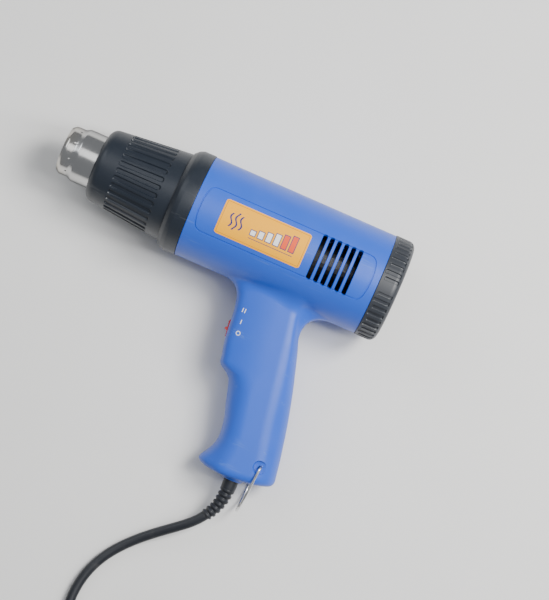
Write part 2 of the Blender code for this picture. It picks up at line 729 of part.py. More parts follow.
def strain_relief():
    """A rubber sleeve: a flange held inside the grip, a neck through its foot and a ribbed, bent tail."""
    path = smooth_path([Vector((x, y, 0)) * MM for x, y in RELIEF_PATH], 1.0 * MM)
    start_y = RELIEF_PATH[0][1] * MM
    total = sum((b - a).length for a, b in zip(path, path[1:]))
    bm = bmesh.new()
    rings, run = [], 0.0
    for i, p in enumerate(path):
        if i:
            run += (p - path[i - 1]).length
        depth = start_y - p.y
        if depth < 1.7 * MM:
            r = 7.6
        elif depth < 16 * MM:
            r = relief_radius(0)
        else:
            ribbed = (i // 2) % 2 == 0
            r = relief_radius(run / total) - (0.0 if ribbed else 0.9)
        ahead = path[min(i + 1, len(path) - 1)] - path[max(i - 1, 0)]
        turn = ahead.to_track_quat("Z", "X")
        angles = [2 * math.pi * k / 14 for k in range(14)]
        rings.append([p + turn @ Vector((r * math.cos(a), r * math.sin(a), 0)) * MM for a in angles])
    ring_solid(bm, rings)
    part("strain_relief", bm, rubber())


def cord_tail():
    """The end of the cord's sheath inside the grip, above the strain relief."""
    bm = bmesh.new()
    cylinder(bm, (-51.3 * MM, -154.1 * MM, 0), (-51.3 * MM, -136 * MM, 0), CORD_RADIUS, 14)
    part("cord_tail", bm, rubber())


def cord_clamp():
    bm = bmesh.new()
    box(bm, (-58.5 * MM, -146.5 * MM, -6.8 * MM), (-44.5 * MM, -140.5 * MM, -CORD_RADIUS - GAP))
    part("cord_clamp", bm, black_plastic())
    for i, x in enumerate((-56.8, -46.2)):
        screw = bmesh.new()
        profile = [(-9.0, 0), (-9.0, 2.0), (-7.1, 2.0), (-7.1, 0)]
        turned(screw, profile, 10, closed=False, matrix=Matrix.Rotation(math.radians(-90), 4, "Y"))
        part(f"clamp_screw_{i + 1}", screw, steel(), origin=(x * MM, -143.5 * MM, 0))


def leads():
    """Single wires from the cord and the switch to the motor and the heater."""
    routes = {
        "lead_live": [(-52.5, -135.5, 1.2), (-60, -122, 2), (-70, -100, 2), (-72, -84, 1), (-71.5, -77, 0.0)],
        "lead_neutral": [(-50.2, -135.5, -1.2), (-56, -115, -5), (-61, -85, -6), (-60, -55, -5),
                         (-56, -38, -5), (-46, -31, -5), (-38, -26, -6), (-32, -19, -6),
                         (-27.5, -15.8, -4.5)],
        "lead_low": [(-72.4, -56.5, 0), (-71.5, -50, 3), (-74, -41.5, 6.5), (-84, -36.4, 7.2),
                     (-92, -34.5, 7.5), (-98, -32.4, 7), (-112, -31.5, 8), (-122, -28, 15), (-132, -24, 15.3),
                     (-136.3, -24.6, 10.5), (-138.6, -25.5, 9.0)],
        "lead_high": [(-74.9, -42.8, 0), (-74, -40, -3), (-78, -37.5, -6.5), (-84, -36.4, -7.2),
                      (-92, -34.5, -7.5), (-98, -32.4, -7), (-112, -31.5, -8), (-122, -28, -15),
                      (-132, -24, -15.3), (-136.3, -24.6, -10.5), (-138.6, -25.5, -9.0)],
    }
    colours = {"lead_live": (0.05, 0.05, 0.05), "lead_neutral": (0.85, 0.85, 0.82),
               "lead_low": (0.7, 0.1, 0.08), "lead_high": (0.1, 0.2, 0.6)}
    for name, route in routes.items():
        points = smooth_path([Vector(p) * MM for p in route], 6 * MM)
        wire(name, points, 0.9 * MM, material(name, colours[name], 0.5), sides=1)


def hanging_bail():
    """A round wire bent to a U, its two ends turned in to the sockets at the foot of the grip."""
    w, bend = BAIL_HALF_WIDTH, 2.0 * MM
    half = [Vector((0, 0, 11.0 * MM)), Vector((0, 0, w - bend))]
    half += [Vector((0, -bend * (1 - math.cos(a)), w - bend + bend * math.sin(a)))
             for a in (math.radians(30), math.radians(60), math.radians(90))]
    half.append(Vector((0, -BAIL_LEG, w)))
    half += [Vector((0, -BAIL_LEG - w * math.sin(a), w * math.cos(a)))
             for a in (math.radians(d) for d in range(12, 90, 13))]
    other = [Vector((0, p.y, -p.z)) for p in reversed(half)]
    lean = Matrix.Rotation(BAIL_REST, 3, "Z")
    wire("hanging_bail", [lean @ p for p in half + other], BAIL_WIRE_RADIUS, steel(), origin=BAIL_PIVOT)


# ---------------------------------------------------------------- free cord, in world coordinates

def lie_matrix():
    return Matrix.Translation(LIE_SHIFT) @ Matrix.Rotation(LIE_ANGLE, 4, "X")


COIL_CENTRE = Vector((70.8 * MM, -238.8 * MM, 0.0))
COIL_RADIUS = 40.0 * MM  # middle of the turns
COIL_HALF_WIDTH = 10.6 * MM  # three turns side by side
COIL_HEIGHT = 14.2 * MM  # two turns high
COIL_FLOOR = 1.4 * MM  # the coil rests on its tie and sags to near the floor elsewhere
# x, y and height of the middle of the cord, in mm, from the strain relief to the outside of the coil
CORD_FLOOR_ROUTE = [(54.0, -126.3, 12.2), (43.0, -135.3, 8.6), (30.3, -146.3, 5.2), (15.8, -162.7, 3.6),
                    (6.1, -182.5, 3.6), (3.5, -203.4, 3.6), (7.2, -223.7, 3.6), (13.2, -242.7, 3.6),
                    (20.4, -259.5, 3.6)]
OUTER_TURN = COIL_RADIUS + 2 * CORD_RADIUS  # middle of the outermost turn
COIL_LEAVE = math.radians(150)  # the cord's end rises off the coil here
END_TURN = math.radians(120)  # and bends this far round, across the coil, to the plug
END_RADIUS = 30 * MM
END_LOW = COIL_FLOOR + COIL_HEIGHT + CORD_RADIUS + GAP
PLUG_CENTRE = COIL_CENTRE + Vector((13.0, -21.5, 23.1)) * MM  # the plug lies across the coil
PLUG_REAR = -23.0 * MM  # where the cord meets it, from its centre


def free_cord():
    """From the strain relief down to the floor, and along it to the coil."""
    tail = lie_matrix() @ (Vector((*RELIEF_PATH[-1], 0)) * MM)
    before = lie_matrix() @ (Vector((*RELIEF_PATH[-2], 0)) * MM)
    ahead = (tail - before).normalized()
    floor = CORD_RADIUS + 0.1 * MM
    start = tail + ahead * GAP
    route = [start, start + ahead * 6 * MM]
    route += [Vector((x * MM, y * MM, max(z * MM, floor))) for x, y, z in CORD_FLOOR_ROUTE]
    wire("cord", smooth_path(route, 7 * MM), CORD_RADIUS, rubber(), sides=3, parent=None)


def cord_coil():
    r, half = COIL_RADIUS / MM, COIL_HALF_WIDTH / MM
    low, top = COIL_FLOOR / MM, (COIL_FLOOR + COIL_HEIGHT) / MM
    profile = [(low, r - half + 2), (low + 2.1, r - half), (top - 2.1, r - half), (top, r - half + 2),
               (top, r + half - 2), (top - 2.1, r + half), (low + 2.1, r + half), (low, r + half - 2)]
    bm = bmesh.new()
    place = Matrix.Translation(COIL_CENTRE) @ Matrix.Rotation(math.radians(-90), 4, "Y")
    turned(bm, profile, 32, matrix=place)
    part("cord_coil", bm, rubber(), parent=None)


def cord_end():
    """The last stretch, which crosses the turns of the coil to the plug that lies on it."""
    leave = Vector((math.cos(COIL_LEAVE), math.sin(COIL_LEAVE), 0))
    middle = COIL_CENTRE + leave * (OUTER_TURN - END_RADIUS)
    route = []
    for k in range(11):
        t = k / 10
        turn = COIL_LEAVE + END_TURN * t
        rise = max((t - 1 / 3) * 1.5, 0)
        height = END_LOW + (PLUG_CENTRE.z - END_LOW) * rise * rise * (3 - 2 * rise)
        outward = Vector((math.cos(turn), math.sin(turn), 0))
        route.append(middle + outward * END_RADIUS + Vector((0, 0, height)))
    route.append(PLUG_CENTRE + Vector((PLUG_REAR - GAP, 0, 0)))
    wire("cord_end", smooth_path(route, 7 * MM), CORD_RADIUS, rubber(), sides=3, parent=None)


def coil_tie():
    """A flat strap closed round the turns of the coil."""
    inner, low, strap = COIL_HALF_WIDTH + 0.4 * MM, COIL_FLOOR - 0.4 * MM, 0.9 * MM
    top, outer = COIL_FLOOR + COIL_HEIGHT + 0.4 * MM, COIL_HALF_WIDTH + 0.4 * MM
    rings = []
    for side, z, dz in ((-1, low, -1), (1, low, -1), (1, top, 1), (-1, top, 1)):
        ring = []
        for grow, along in ((0, -3.5), (strap, -3.5), (strap, 3.5), (0, 3.5)):
            reach = COIL_RADIUS + side * (inner if side < 0 else outer) + side * grow
            ring.append(COIL_CENTRE + Vector((reach, along * MM, z + dz * grow)))
        rings.append(ring)
    bm = bmesh.new()
    ring_solid(bm, rings, closed=True)
    part("coil_tie", bm, material("tie", (0.8, 0.8, 0.78), 0.5), parent=None)


def plug():
    """A moulded two-pin plug that lies on the coil."""
    rings = []
    for x, half_y, half_z in ((PLUG_REAR / MM, 4.0, 4.0), (-21, 5.2, 4.6), (-10, 6.2, 5.4), (-6, 8.2, 6.6),
                              (4, 9.6, 7.2), (7, 9.6, 7.2), (8, 9.0, 6.6)):
        ring = []
        for k in range(16):
            a = 2 * math.pi * (k + 0.5) / 16
            c, s = math.cos(a), math.sin(a)
            square = (abs(c) ** 4 + abs(s) ** 4) ** -0.25
            ring.append(PLUG_CENTRE + Vector((x, half_y * c * square, half_z * s * square)) * MM)
        rings.append(ring)
    bm = bmesh.new()
    ring_solid(bm, rings)
    part("plug_body", bm, rubber(), parent=None)
    for i, y in enumerate((-6.35, 6.35)):
        width = 3.2 if i else 3.9
        blade = bmesh.new()
        low = PLUG_CENTRE + Vector((8.3, y - 0.75, -width)) * MM
        high = PLUG_CENTRE + Vector((25.5, y + 0.75, width)) * MM
        box(blade, low, high)
        part(f"plug_blade_{i + 1}", blade, brass(), parent=None)


def main():
    for obj in list(bpy.data.objects):
        bpy.data.objects.remove(obj)
    frame = bpy.data.objects.new("gun_frame", None)
    bpy.context.scene.collection.objects.link(frame)
    frame.location = LIE_SHIFT
    frame.rotation_euler = (LIE_ANGLE, 0, 0)

    blank = housing_blank()
    housing_shell("left_housing", 1, blank)
    housing_shell("right_housing", -1, blank)
    housing_screws()
    side_label("label_left", 1)
    side_label("label_right", -1)
    rear_cap()
    intake_screen()
    front_collar()
    front_guard()
    nozzle()
    nozzle_flange()
    mica_sleeve()
    mica_plate("mica_plate_upright", True, 0.0)
    mica_plate("mica_plate_level", False, math.radians(90))
    heater_coil()
    heater_terminals()
    thermal_cutout()
    air_duct()
    fan()
    motor_mount()
    motor()
    rectifier()
    switch()
    strain_relief()
    cord_tail()
    cord_clamp()
    leads()
    hanging_bail()
    free_cord()
    cord_coil()
    cord_end()
    coil_tie()
    plug()


main()
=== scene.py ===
"""Heat gun, lying on its right side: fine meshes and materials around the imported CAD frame.

Most pieces are drawn in the gun frame, in millimetres: X runs along the barrel with the nozzle at -X and the
rear face at 0, +Y is the top of the barrel, the grip hangs to -Y, and +Z is the gun's left side, which faces
the camera. GUN takes that frame to the row frame. The free cord, its coil, its tie and its plug are drawn
straight in the row frame. Outlines and profiles are lists of points in millimetres.
"""

import json
import math

import bmesh
import bpy
import numpy as np
from mathutils import Matrix, Vector


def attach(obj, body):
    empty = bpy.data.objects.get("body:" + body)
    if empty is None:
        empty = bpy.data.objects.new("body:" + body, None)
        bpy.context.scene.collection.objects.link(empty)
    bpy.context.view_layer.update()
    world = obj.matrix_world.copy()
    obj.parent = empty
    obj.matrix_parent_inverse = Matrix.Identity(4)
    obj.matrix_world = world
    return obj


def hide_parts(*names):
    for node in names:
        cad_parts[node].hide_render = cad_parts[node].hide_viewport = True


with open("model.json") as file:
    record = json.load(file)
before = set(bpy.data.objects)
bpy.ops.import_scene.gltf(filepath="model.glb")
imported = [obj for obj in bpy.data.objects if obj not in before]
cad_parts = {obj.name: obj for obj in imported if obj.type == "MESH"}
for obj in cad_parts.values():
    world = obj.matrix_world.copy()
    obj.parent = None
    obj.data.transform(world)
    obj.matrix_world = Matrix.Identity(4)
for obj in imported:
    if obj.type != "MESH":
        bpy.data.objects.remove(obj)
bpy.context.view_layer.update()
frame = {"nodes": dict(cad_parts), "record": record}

MM = 0.001
JOINTS = {joint["name"]: joint for joint in frame["record"]["behaviour"]["joints"]}
FAN_X = -81.0  # where the fan's joint lies on the barrel's axis, in the gun frame


def gun_matrix():
    """The gun frame's place in the row frame, from the fan's joint and the bail's axis."""
    across = Vector(JOINTS["bail_swing"]["axis"]).normalized()
    along = Vector((1, 0, 0))
    turn = Matrix((along, across.cross(along), across)).transposed().to_4x4()
    return Matrix.Translation(Vector(JOINTS["fan_spin"]["pos_m"]) - along * FAN_X * MM) @ turn


GUN = gun_matrix()


def new_object(name, data):
    obj = bpy.data.objects.new(name, data)
    bpy.context.scene.collection.objects.link(obj)
    return obj


# ---------------- camera, light and floor

VIEW_CENTRE = (-74.0, -37.7)  # the point of the gun's side plane at the middle of the picture
VIEW_TILT = math.radians(23.7)  # the barrel falls to the right by this much
VIEW_DISTANCE = 1200.0
PIXELS_PER_MM = 1.45
LONG_SIDE = 600  # pixels
SENSOR = 36.0
FLOOR_SIZE = 6.0
FLOOR_DROP = 0.2  # the floor lies this far under the gun, in mm


def camera():
    data = bpy.data.cameras.new("camera")
    data.sensor_width = SENSOR
    data.lens = PIXELS_PER_MM * VIEW_DISTANCE * SENSOR / LONG_SIDE
    data.clip_start, data.clip_end = 0.01, 10.0
    cam = new_object("camera", data)
    cam.matrix_world = (GUN @ Matrix.Translation(Vector((*VIEW_CENTRE, 0)) * MM)
                        @ Matrix.Rotation(VIEW_TILT, 4, "Z") @ Matrix.Translation((0, 0, VIEW_DISTANCE * MM)))
    bpy.context.scene.camera = cam


def area_light(name, place, target, size, power, colour=(1, 1, 1)):
    data = bpy.data.lights.new(name, "AREA")
    data.shape = "RECTANGLE"
    data.size, data.size_y = size
    data.energy = power
    data.color = colour
    light = new_object(name, data)
    light.location = place
    light.rotation_euler = (Vector(target) - Vector(place)).to_track_quat("-Z", "Y").to_euler()


def studio():
    world = bpy.data.worlds.new("studio")
    bpy.context.scene.world = world
    world.use_nodes = True
    background = world.node_tree.nodes["Background"].inputs
    background["Color"].default_value = (0.92, 0.95, 1.0, 1)
    background["Strength"].default_value = 0.28
    area_light("key", (0.52, 0.42, 1.00), (0, 0, 0.03), (0.3, 0.5), 13.5, (1.0, 0.99, 0.97))
    area_light("strip", (0.64, 0.10, 0.94), (0.05, 0, 0.03), (0.12, 0.9), 8.0)
    area_light("fill", (-0.75, 0.35, 0.75), (0, 0, 0.03), (0.6, 0.6), 2.5, (0.93, 0.96, 1.0))
    area_light("top", (-0.15, 0.1, 1.35), (-0.05, 0, 0.03), (0.5, 1.0), 2.6)
    mesh = bpy.data.meshes.new("floor")
    bm = bmesh.new()
    bmesh.ops.create_grid(bm, x_segments=1, y_segments=1, size=FLOOR_SIZE)
    bm.to_mesh(mesh)
    bm.free()
    floor = new_object("floor", mesh)
    floor.location.z = -FLOOR_DROP * MM
    mesh.materials.append(Paint("floor_paper", (0.80, 0.795, 0.78), 0.85).speckle(400, 0.02).done())


# ---------------- materials

class Paint:
    """A Principled material that is built up from noise, masks and bumps, in gun-frame coordinates."""

    def __init__(self, name, colour, roughness, metallic=0.0, **constant):
        self.mat = bpy.data.materials.new(name)
        self.mat.use_nodes = True
        self.mat.diffuse_color = (*colour, 1)
        self.tree = self.mat.node_tree
        self.shader = self.tree.nodes["Principled BSDF"]
        for key, value in {"Metallic": metallic, "Roughness": roughness, **constant}.items():
            self.shader.inputs[key.replace("_", " ")].default_value = value
        self.colour = (*colour, 1)
        self.roughness = roughness
        self.bump = None
        self.place = self.node("Mapping", {"Vector": self.node("TexCoord").outputs["Object"],
                                           "Location": GUN.to_translation(), "Rotation": GUN.to_euler()},
                               vector_type="TEXTURE").outputs["Vector"]

    def node(self, kind, inputs=None, **settings):
        """Adds a node. Each of its inputs, by name or number, is another node's output or a constant."""
        node = self.tree.nodes.new("ShaderNode" + kind)
        for key, value in settings.items():
            setattr(node, key, value)
        for key, source in (inputs or {}).items():
            self.link(source, node.inputs[key])
        return node

    def link(self, source, socket):
        if hasattr(source, "is_output"):
            self.tree.links.new(source, socket)
        elif isinstance(source, tuple):
            socket.default_value = source[:len(socket.default_value)]
        else:
            socket.default_value = source

    def math(self, operation, *inputs, clamp=False):
        return self.node("Math", dict(enumerate(inputs)), operation=operation, use_clamp=clamp).outputs[0]

    def split(self, vector):
        return self.node("SeparateXYZ", {0: vector}).outputs

    def away(self, source, centre):
        return self.math("ABSOLUTE", self.math("SUBTRACT", source, centre))

    def noise(self, scale, detail=3.0, stretch=None):
        place = self.place
        if stretch:
            place = self.node("VectorMath", {0: place, 1: stretch}, operation="MULTIPLY").outputs[0]
        return self.node("TexNoise", {"Vector": place, "Scale": scale, "Detail": detail}).outputs["Fac"]

    def ramp(self, source, low, high):
        """0 below low, 1 above high, smooth between."""
        return self.node("MapRange", {"Value": source, "From Min": low, "From Max": high},
                         interpolation_type="SMOOTHSTEP").outputs["Result"]

    def over(self, mask, colour, share=1):
        """Paints a colour where the mask is 1, covering a share of what is under it."""
        if share != 1:
            mask = self.math("MULTIPLY", mask, share)
        inputs = {0: mask, 6: self.colour, 7: (*colour, 1)}
        self.colour = self.node("Mix", inputs, data_type="RGBA").outputs[2]
        return self

    def tone(self, source, amount):
        """Lightens and darkens by a 0 to 1 source, around its middle."""
        gain = self.math("MULTIPLY_ADD", source, 2 * amount, 1 - amount)
        self.colour = self.node("VectorMath", {0: self.colour, "Scale": gain}, operation="SCALE").outputs[0]
        return self

    def rougher(self, source, amount):
        self.roughness = self.math("MULTIPLY_ADD", source, amount, self.roughness, clamp=True)
        return self

    def uneven(self, source, amount):
        """Rougher and smoother by a 0 to 1 source, around its middle."""
        return self.rougher(self.math("SUBTRACT", source, 0.5), amount)

    def raised(self, height, depth_mm, strength):
        """Bumps the surface by a height source, depth_mm for 1."""
        inputs = {"Strength": strength, "Distance": depth_mm * MM, "Height": height}
        if self.bump is not None:
            inputs["Normal"] = self.bump
        self.bump = self.node("Bump", inputs).outputs["Normal"]
        return self

    def speckle(self, scale, depth_mm, strength=0.6):
        """The fine grain of a moulded or cast surface."""
        self.tone(self.noise(scale * 0.02), 0.04)
        self.uneven(self.noise(scale * 0.05, 4.0), 0.22)
        return self.raised(self.noise(scale, 4.0), depth_mm, strength)

    def scuffs(self, colour, share):
        """Sparse fine rub marks, a little lighter and duller than the surface."""
        lines = self.noise(55.0, 2.0, stretch=(0.35, 2.2, 2.2))
        fine = self.noise(495.0, 2.0, stretch=(0.12, 1.6, 1.6))
        mask = self.math("MULTIPLY", self.ramp(lines, 0.60, 0.74), self.ramp(fine, 0.52, 0.62))
        mask = self.math("MULTIPLY", mask, share)
        return self.over(mask, colour).rougher(mask, 0.2)

    def done(self):
        self.link(self.colour, self.shader.inputs["Base Color"])
        self.link(self.roughness, self.shader.inputs["Roughness"])
        if self.bump is not None:
            self.link(self.bump, self.shader.inputs["Normal"])
        return self.mat


BLUE = (0.022, 0.105, 0.60)
BLACK = (0.013, 0.018, 0.027)
CAP_GREY = (0.030, 0.034, 0.042)
ORANGE = (1.0, 0.44, 0.0)
NAVY = (0.02, 0.03, 0.16)
WHITE = (0.88, 0.88, 0.86)
# Heat marks beside the switch, two bars, one bar and a ring, in mm
PRINT_EDGE = 0.06
BAR_HALF = (0.28, 1.5)
TWIN_BARS = 0.9
RING_RADIUS, RING_HALF = 1.35, 0.26


def blue_plastic():
    """Textured blue moulding, with the printed heat marks beside the switch."""
    paint = Paint("blue_moulded_plastic", BLUE, 0.36)
    paint.speckle(1700, 0.09, 0.6)
    paint.tone(paint.noise(9.0, 2.0), 0.05)
    paint.scuffs((0.16, 0.28, 0.62), 0.25)
    x, y, z = paint.split(paint.place)
    facing = paint.math("GREATER_THAN", z, 5 * MM)

    def within(distance, half):
        return paint.ramp(distance, (half + PRINT_EDGE) * MM, (half - PRINT_EDGE) * MM)

    def bar(centre_x, centre_y):
        return paint.math("MULTIPLY", within(paint.away(x, centre_x * MM), BAR_HALF[0]),
                          within(paint.away(y, centre_y * MM), BAR_HALF[1]))

    def ring(centre_x, centre_y):
        dx, dy = paint.math("SUBTRACT", x, centre_x * MM), paint.math("SUBTRACT", y, centre_y * MM)
        square = paint.math("MULTIPLY_ADD", dx, dx, paint.math("MULTIPLY", dy, dy))
        return within(paint.away(paint.math("SQRT", square), RING_RADIUS * MM), RING_HALF)

    high, low, off = MARKS
    total = bar(high[0] - TWIN_BARS, high[1])
    for shape in (bar(high[0] + TWIN_BARS, high[1]), bar(*low), ring(*off)):
        total = paint.math("MAXIMUM", total, shape)
    return paint.over(paint.math("MULTIPLY", total, facing), WHITE).done()


def black_plastic(name, colour, roughness):
    paint = Paint(name, colour, roughness)
    paint.speckle(2200, 0.05, 0.55)
    paint.scuffs(tuple(c + 0.09 for c in colour), 0.3)
    return paint.done()


def bright_steel():
    """Polished stainless tube with faint turning lines, and a trace of heat tint towards the mouth."""
    paint = Paint("stainless_tube", (0.60, 0.60, 0.595), 0.17, 1.0, Specular_Tint=(0.25, 0.25, 0.26, 1.0))
    lines = paint.noise(1.0, 4.0, stretch=(2600.0, 30.0, 30.0))
    paint.uneven(lines, 0.16)
    paint.rougher(paint.ramp(paint.noise(60.0, 4.0), 0.5, 0.75), 0.06)
    tint = paint.ramp(paint.split(paint.place)[0], -0.236, -0.249)
    paint.over(paint.math("MULTIPLY", tint, paint.ramp(paint.noise(45.0), 0.3, 0.8)),
               (0.78, 0.66, 0.45), 0.35)
    paint.tone(paint.noise(35.0), 0.06)
    return paint.raised(lines, 0.004, 0.5).done()


def metal(name, colour, roughness):
    paint = Paint(name, colour, roughness, 1.0)
    paint.tone(paint.noise(90.0), 0.08)
    paint.uneven(paint.noise(300.0, 4.0), 0.35)
    return paint.raised(paint.noise(1800.0), 0.01, 0.4).done()


def bright_wire():
    """Drawn and plated wire, with slight dull patches."""
    paint = Paint("bright_wire", (0.74, 0.74, 0.73), 0.22, 1.0)
    paint.tone(paint.noise(70.0, 2.0), 0.06)
    paint.rougher(paint.ramp(paint.noise(90.0), 0.5, 0.7), 0.14)
    return paint.raised(paint.noise(6000.0, 2.0), 0.002, 0.3).done()


def rubber(name="black_rubber"):
    paint = Paint(name, (0.014, 0.016, 0.021), 0.40)
    paint.speckle(1800, 0.05, 0.5)
    return paint.over(paint.ramp(paint.noise(120.0, 4.0), 0.56, 0.75), (0.09, 0.088, 0.085), 0.25).done()


def mica():
    paint = Paint("mica_board", (0.50, 0.41, 0.28), 0.42)
    paint.tone(paint.noise(160.0, 5.0), 0.3)
    paint.over(paint.ramp(paint.noise(900.0, 2.0), 0.58, 0.66), (0.72, 0.64, 0.48), 0.5)
    paint.uneven(paint.noise(500.0), 0.4)
    return paint.raised(paint.noise(700.0, 4.0), 0.05, 0.6).done()


def heater_wire():
    paint = Paint("oxidised_wire", (0.20, 0.17, 0.15), 0.42, 1.0)
    paint.tone(paint.noise(500.0, 4.0), 0.35)
    paint.over(paint.ramp(paint.noise(90.0, 2.0), 0.45, 0.7), (0.42, 0.30, 0.22), 0.5)
    return paint.raised(paint.noise(2500.0), 0.02, 0.5).done()


def circuit_board():
    paint = Paint("circuit_board", (0.03, 0.14, 0.07), 0.35)
    paint.tone(paint.noise(900.0, stretch=(1, 1, 0.1)), 0.25)
    traces = paint.ramp(paint.noise(240.0, 0.0), 0.55, 0.57)
    paint.over(traces, (0.06, 0.27, 0.13), 0.7)
    return paint.raised(traces, 0.03, 0.5).done()


def plain(name, colour, roughness):
    paint = Paint(name, colour, roughness)
    paint.tone(paint.noise(300.0, 4.0), 0.12)
    paint.uneven(paint.noise(600.0), 0.3)
    return paint.raised(paint.noise(2500.0), 0.02, 0.5).done()


# ---------------- mesh helpers

def place(name, data, mat, body, *replaced, slot, in_gun=True):
    """Adds a piece that rides on a body and stands for CAD nodes."""
    obj = new_object(name, data)
    if in_gun:
        data.transform(GUN)
    data.materials.append(mat)
    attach(obj, body)
    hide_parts(*replaced)
    return obj


def shaded(mesh, degrees):
    """Smooth, apart from edges sharper than the angle."""
    mesh.shade_smooth()
    mesh.set_sharp_from_angle(angle=math.radians(degrees))
    return mesh


def mesh_from(name, points, faces, sharp=32.0):
    """A smooth-shaded mesh whose faces point outwards."""
    mesh = bpy.data.meshes.new(name)
    mesh.from_pydata((np.asarray(points, float) * MM).tolist(), [], [list(map(int, f)) for f in faces])
    bm = bmesh.new()
    bm.from_mesh(mesh)
    bmesh.ops.remove_doubles(bm, verts=bm.verts, dist=1e-7)
    bmesh.ops.recalc_face_normals(bm, faces=bm.faces)
    bm.to_mesh(mesh)
    bm.free()
    return shaded(mesh, sharp)


def grid_faces(rows, columns, closed_rows=False):
    """Quads between rows of points whose columns form loops."""
    faces = []
    for i in range(rows if closed_rows else rows - 1):
        low, high = i * columns, (i + 1) % rows * columns
        for j in range(columns):
            k = (j + 1) % columns
            faces.append((low + j, low + k, high + k, high + j))
    return faces


def loft(name, rings, closed=False, **more):
    """A mesh through rings of points. Open ends are capped."""
    columns = len(rings[0])
    faces = grid_faces(len(rings), columns, closed)
    if not closed:
        faces.append(tuple(range(columns)))
        faces.append(tuple(range((len(rings) - 1) * columns, len(rings) * columns))[::-1])
    return mesh_from(name, np.concatenate([np.asarray(ring, float) for ring in rings]), faces, **more)


def around(count):
    """Evenly spaced angles of a full turn, as numbers."""
    return [2 * math.pi * k / count for k in range(count)]


def off_middle(angle, count):
    """How far an angle is from the middle of the nearest of count equal sectors."""
    pitch = 2 * np.pi / count
    return (angle + pitch / 2) % pitch - pitch / 2


def soften(points, radius, steps=4, closed=True):
    """Rounds the corners of an outline: radius is one number, or one for each corner."""
    points = [np.array(p, float) for p in points]
    radii = radius if isinstance(radius, (list, tuple)) else [radius] * len(points)
    out = []
    for i, here in enumerate(points):
        if radii[i] <= 0 or (not closed and i in (0, len(points) - 1)):
            out.append(here)
            continue
        before, after = points[i - 1] - here, points[(i + 1) % len(points)] - here
        a, b = np.linalg.norm(before), np.linalg.norm(after)
        turn = math.pi - math.acos(np.clip(before @ after / (a * b), -1, 1))
        if turn < 0.02:
            out.append(here)
            continue
        reach = min(radii[i] * math.tan(turn / 2), 0.48 * a, 0.48 * b)
        start, end = here + before * reach / a, here + after * reach / b
        count = max(2, round(steps * turn / (math.pi / 2)))
        for k in range(count + 1):
            t = k / count
            out.append((1 - t) ** 2 * start + 2 * t * (1 - t) * here + t ** 2 * end)
    return out


def turned(name, profile, segments, closed=True, shape=None, matrix=None, **more):
    """A mesh turned about X from (x, radius) points. shape(x, r, angle) is what is taken off the radius."""
    profile = np.asarray(profile, float)
    angles = 2 * np.pi * np.arange(segments) / segments
    x, a = np.meshgrid(profile[:, 0], angles, indexing="ij")
    r = np.repeat(profile[:, 1:2], segments, axis=1)
    if shape:
        r = r - shape(x, r, a)
    points = np.stack([x, r * np.cos(a), r * np.sin(a)], -1).reshape(-1, 3)
    if matrix is not None:
        points = points @ np.array(matrix.to_3x3()).T
    return mesh_from(name, points, grid_faces(len(profile), segments, closed), **more)


def dense(profile, step):
    """Adds points along an outline so that none are further apart than step."""
    out = []
    for a, b in zip(profile, profile[1:]):
        a, b = np.asarray(a, float), np.asarray(b, float)
        count = max(1, math.ceil(np.linalg.norm(b - a) / step))
        out += [a + (b - a) * k / count for k in range(count)]
    out.append(np.asarray(profile[-1], float))
    return out


def closed_path(outline, step):
    return dense([*outline, outline[0]], step)[:-1]


def swept(path, section):
    """Carries a section of (out, across) points round a closed flat path: rings of (u, v, across)."""
    rings = []
    for i, here in enumerate(path):
        ahead = path[(i + 1) % len(path)] - path[i - 1]
        normal = np.array((ahead[1], -ahead[0])) / np.linalg.norm(ahead)
        rings.append([(*(here + normal * out), across) for out, across in section])
    return rings


def smoothstep(low, high, value):
    t = np.clip((value - low) / (high - low), 0, 1)
    return t * t * (3 - 2 * t)


def rounded_box_distance(u, v, half_u, half_v, radius):
    """Signed distance to a rounded rectangle about the origin, negative inside."""
    du, dv = np.abs(u) - (half_u - radius), np.abs(v) - (half_v - radius)
    outside = np.hypot(np.maximum(du, 0), np.maximum(dv, 0))
    return outside + np.minimum(np.maximum(du, dv), 0) - radius


def smooth_path(points, step):
    """A Catmull-Rom curve through the points, read about every step."""
    points = [np.array(p, float) for p in points]
    ends = [2 * points[0] - points[1], *points, 2 * points[-1] - points[-2]]
    path = []
    for a, b, c, d in zip(ends, ends[1:], ends[2:], ends[3:]):
        count = max(1, round(np.linalg.norm(c - b) / step))
        for i in range(count):
            t = i / count
            path.append(0.5 * (2 * b + (c - a) * t + (2 * a - 5 * b + 4 * c - d) * t ** 2
                               + (3 * b - a - 3 * c + d) * t ** 3))
    path.append(points[-1])
    return path


def wire_curve(name, points, radius, sides=4):
    curve = bpy.data.curves.new(name, "CURVE")
    curve.dimensions = "3D"
    curve.bevel_depth = radius
    curve.bevel_resolution = sides
    curve.use_fill_caps = True
    spline = curve.splines.new("POLY")
    spline.points.add(len(points) - 1)
    for spot, p in zip(spline.points, points):
        spot.co = (*p, 1.0)
    spline.use_smooth = True
    return curve


def cut(mesh, cutters):
    """Cuts closed meshes out of a closed mesh."""
    obj = new_object("work", mesh)
    helpers = [new_object("cutter", cutter) for cutter in cutters]
    for helper in helpers:
        mod = obj.modifiers.new("cut", "BOOLEAN")
        mod.operation, mod.object, mod.solver = "DIFFERENCE", helper, "MANIFOLD"
    bpy.context.view_layer.update()
    result = bpy.data.meshes.new_from_object(obj.evaluated_get(bpy.context.evaluated_depsgraph_get()))
    for helper in [obj, *helpers]:
        bpy.data.objects.remove(helper)
    result.materials.clear()
    return result


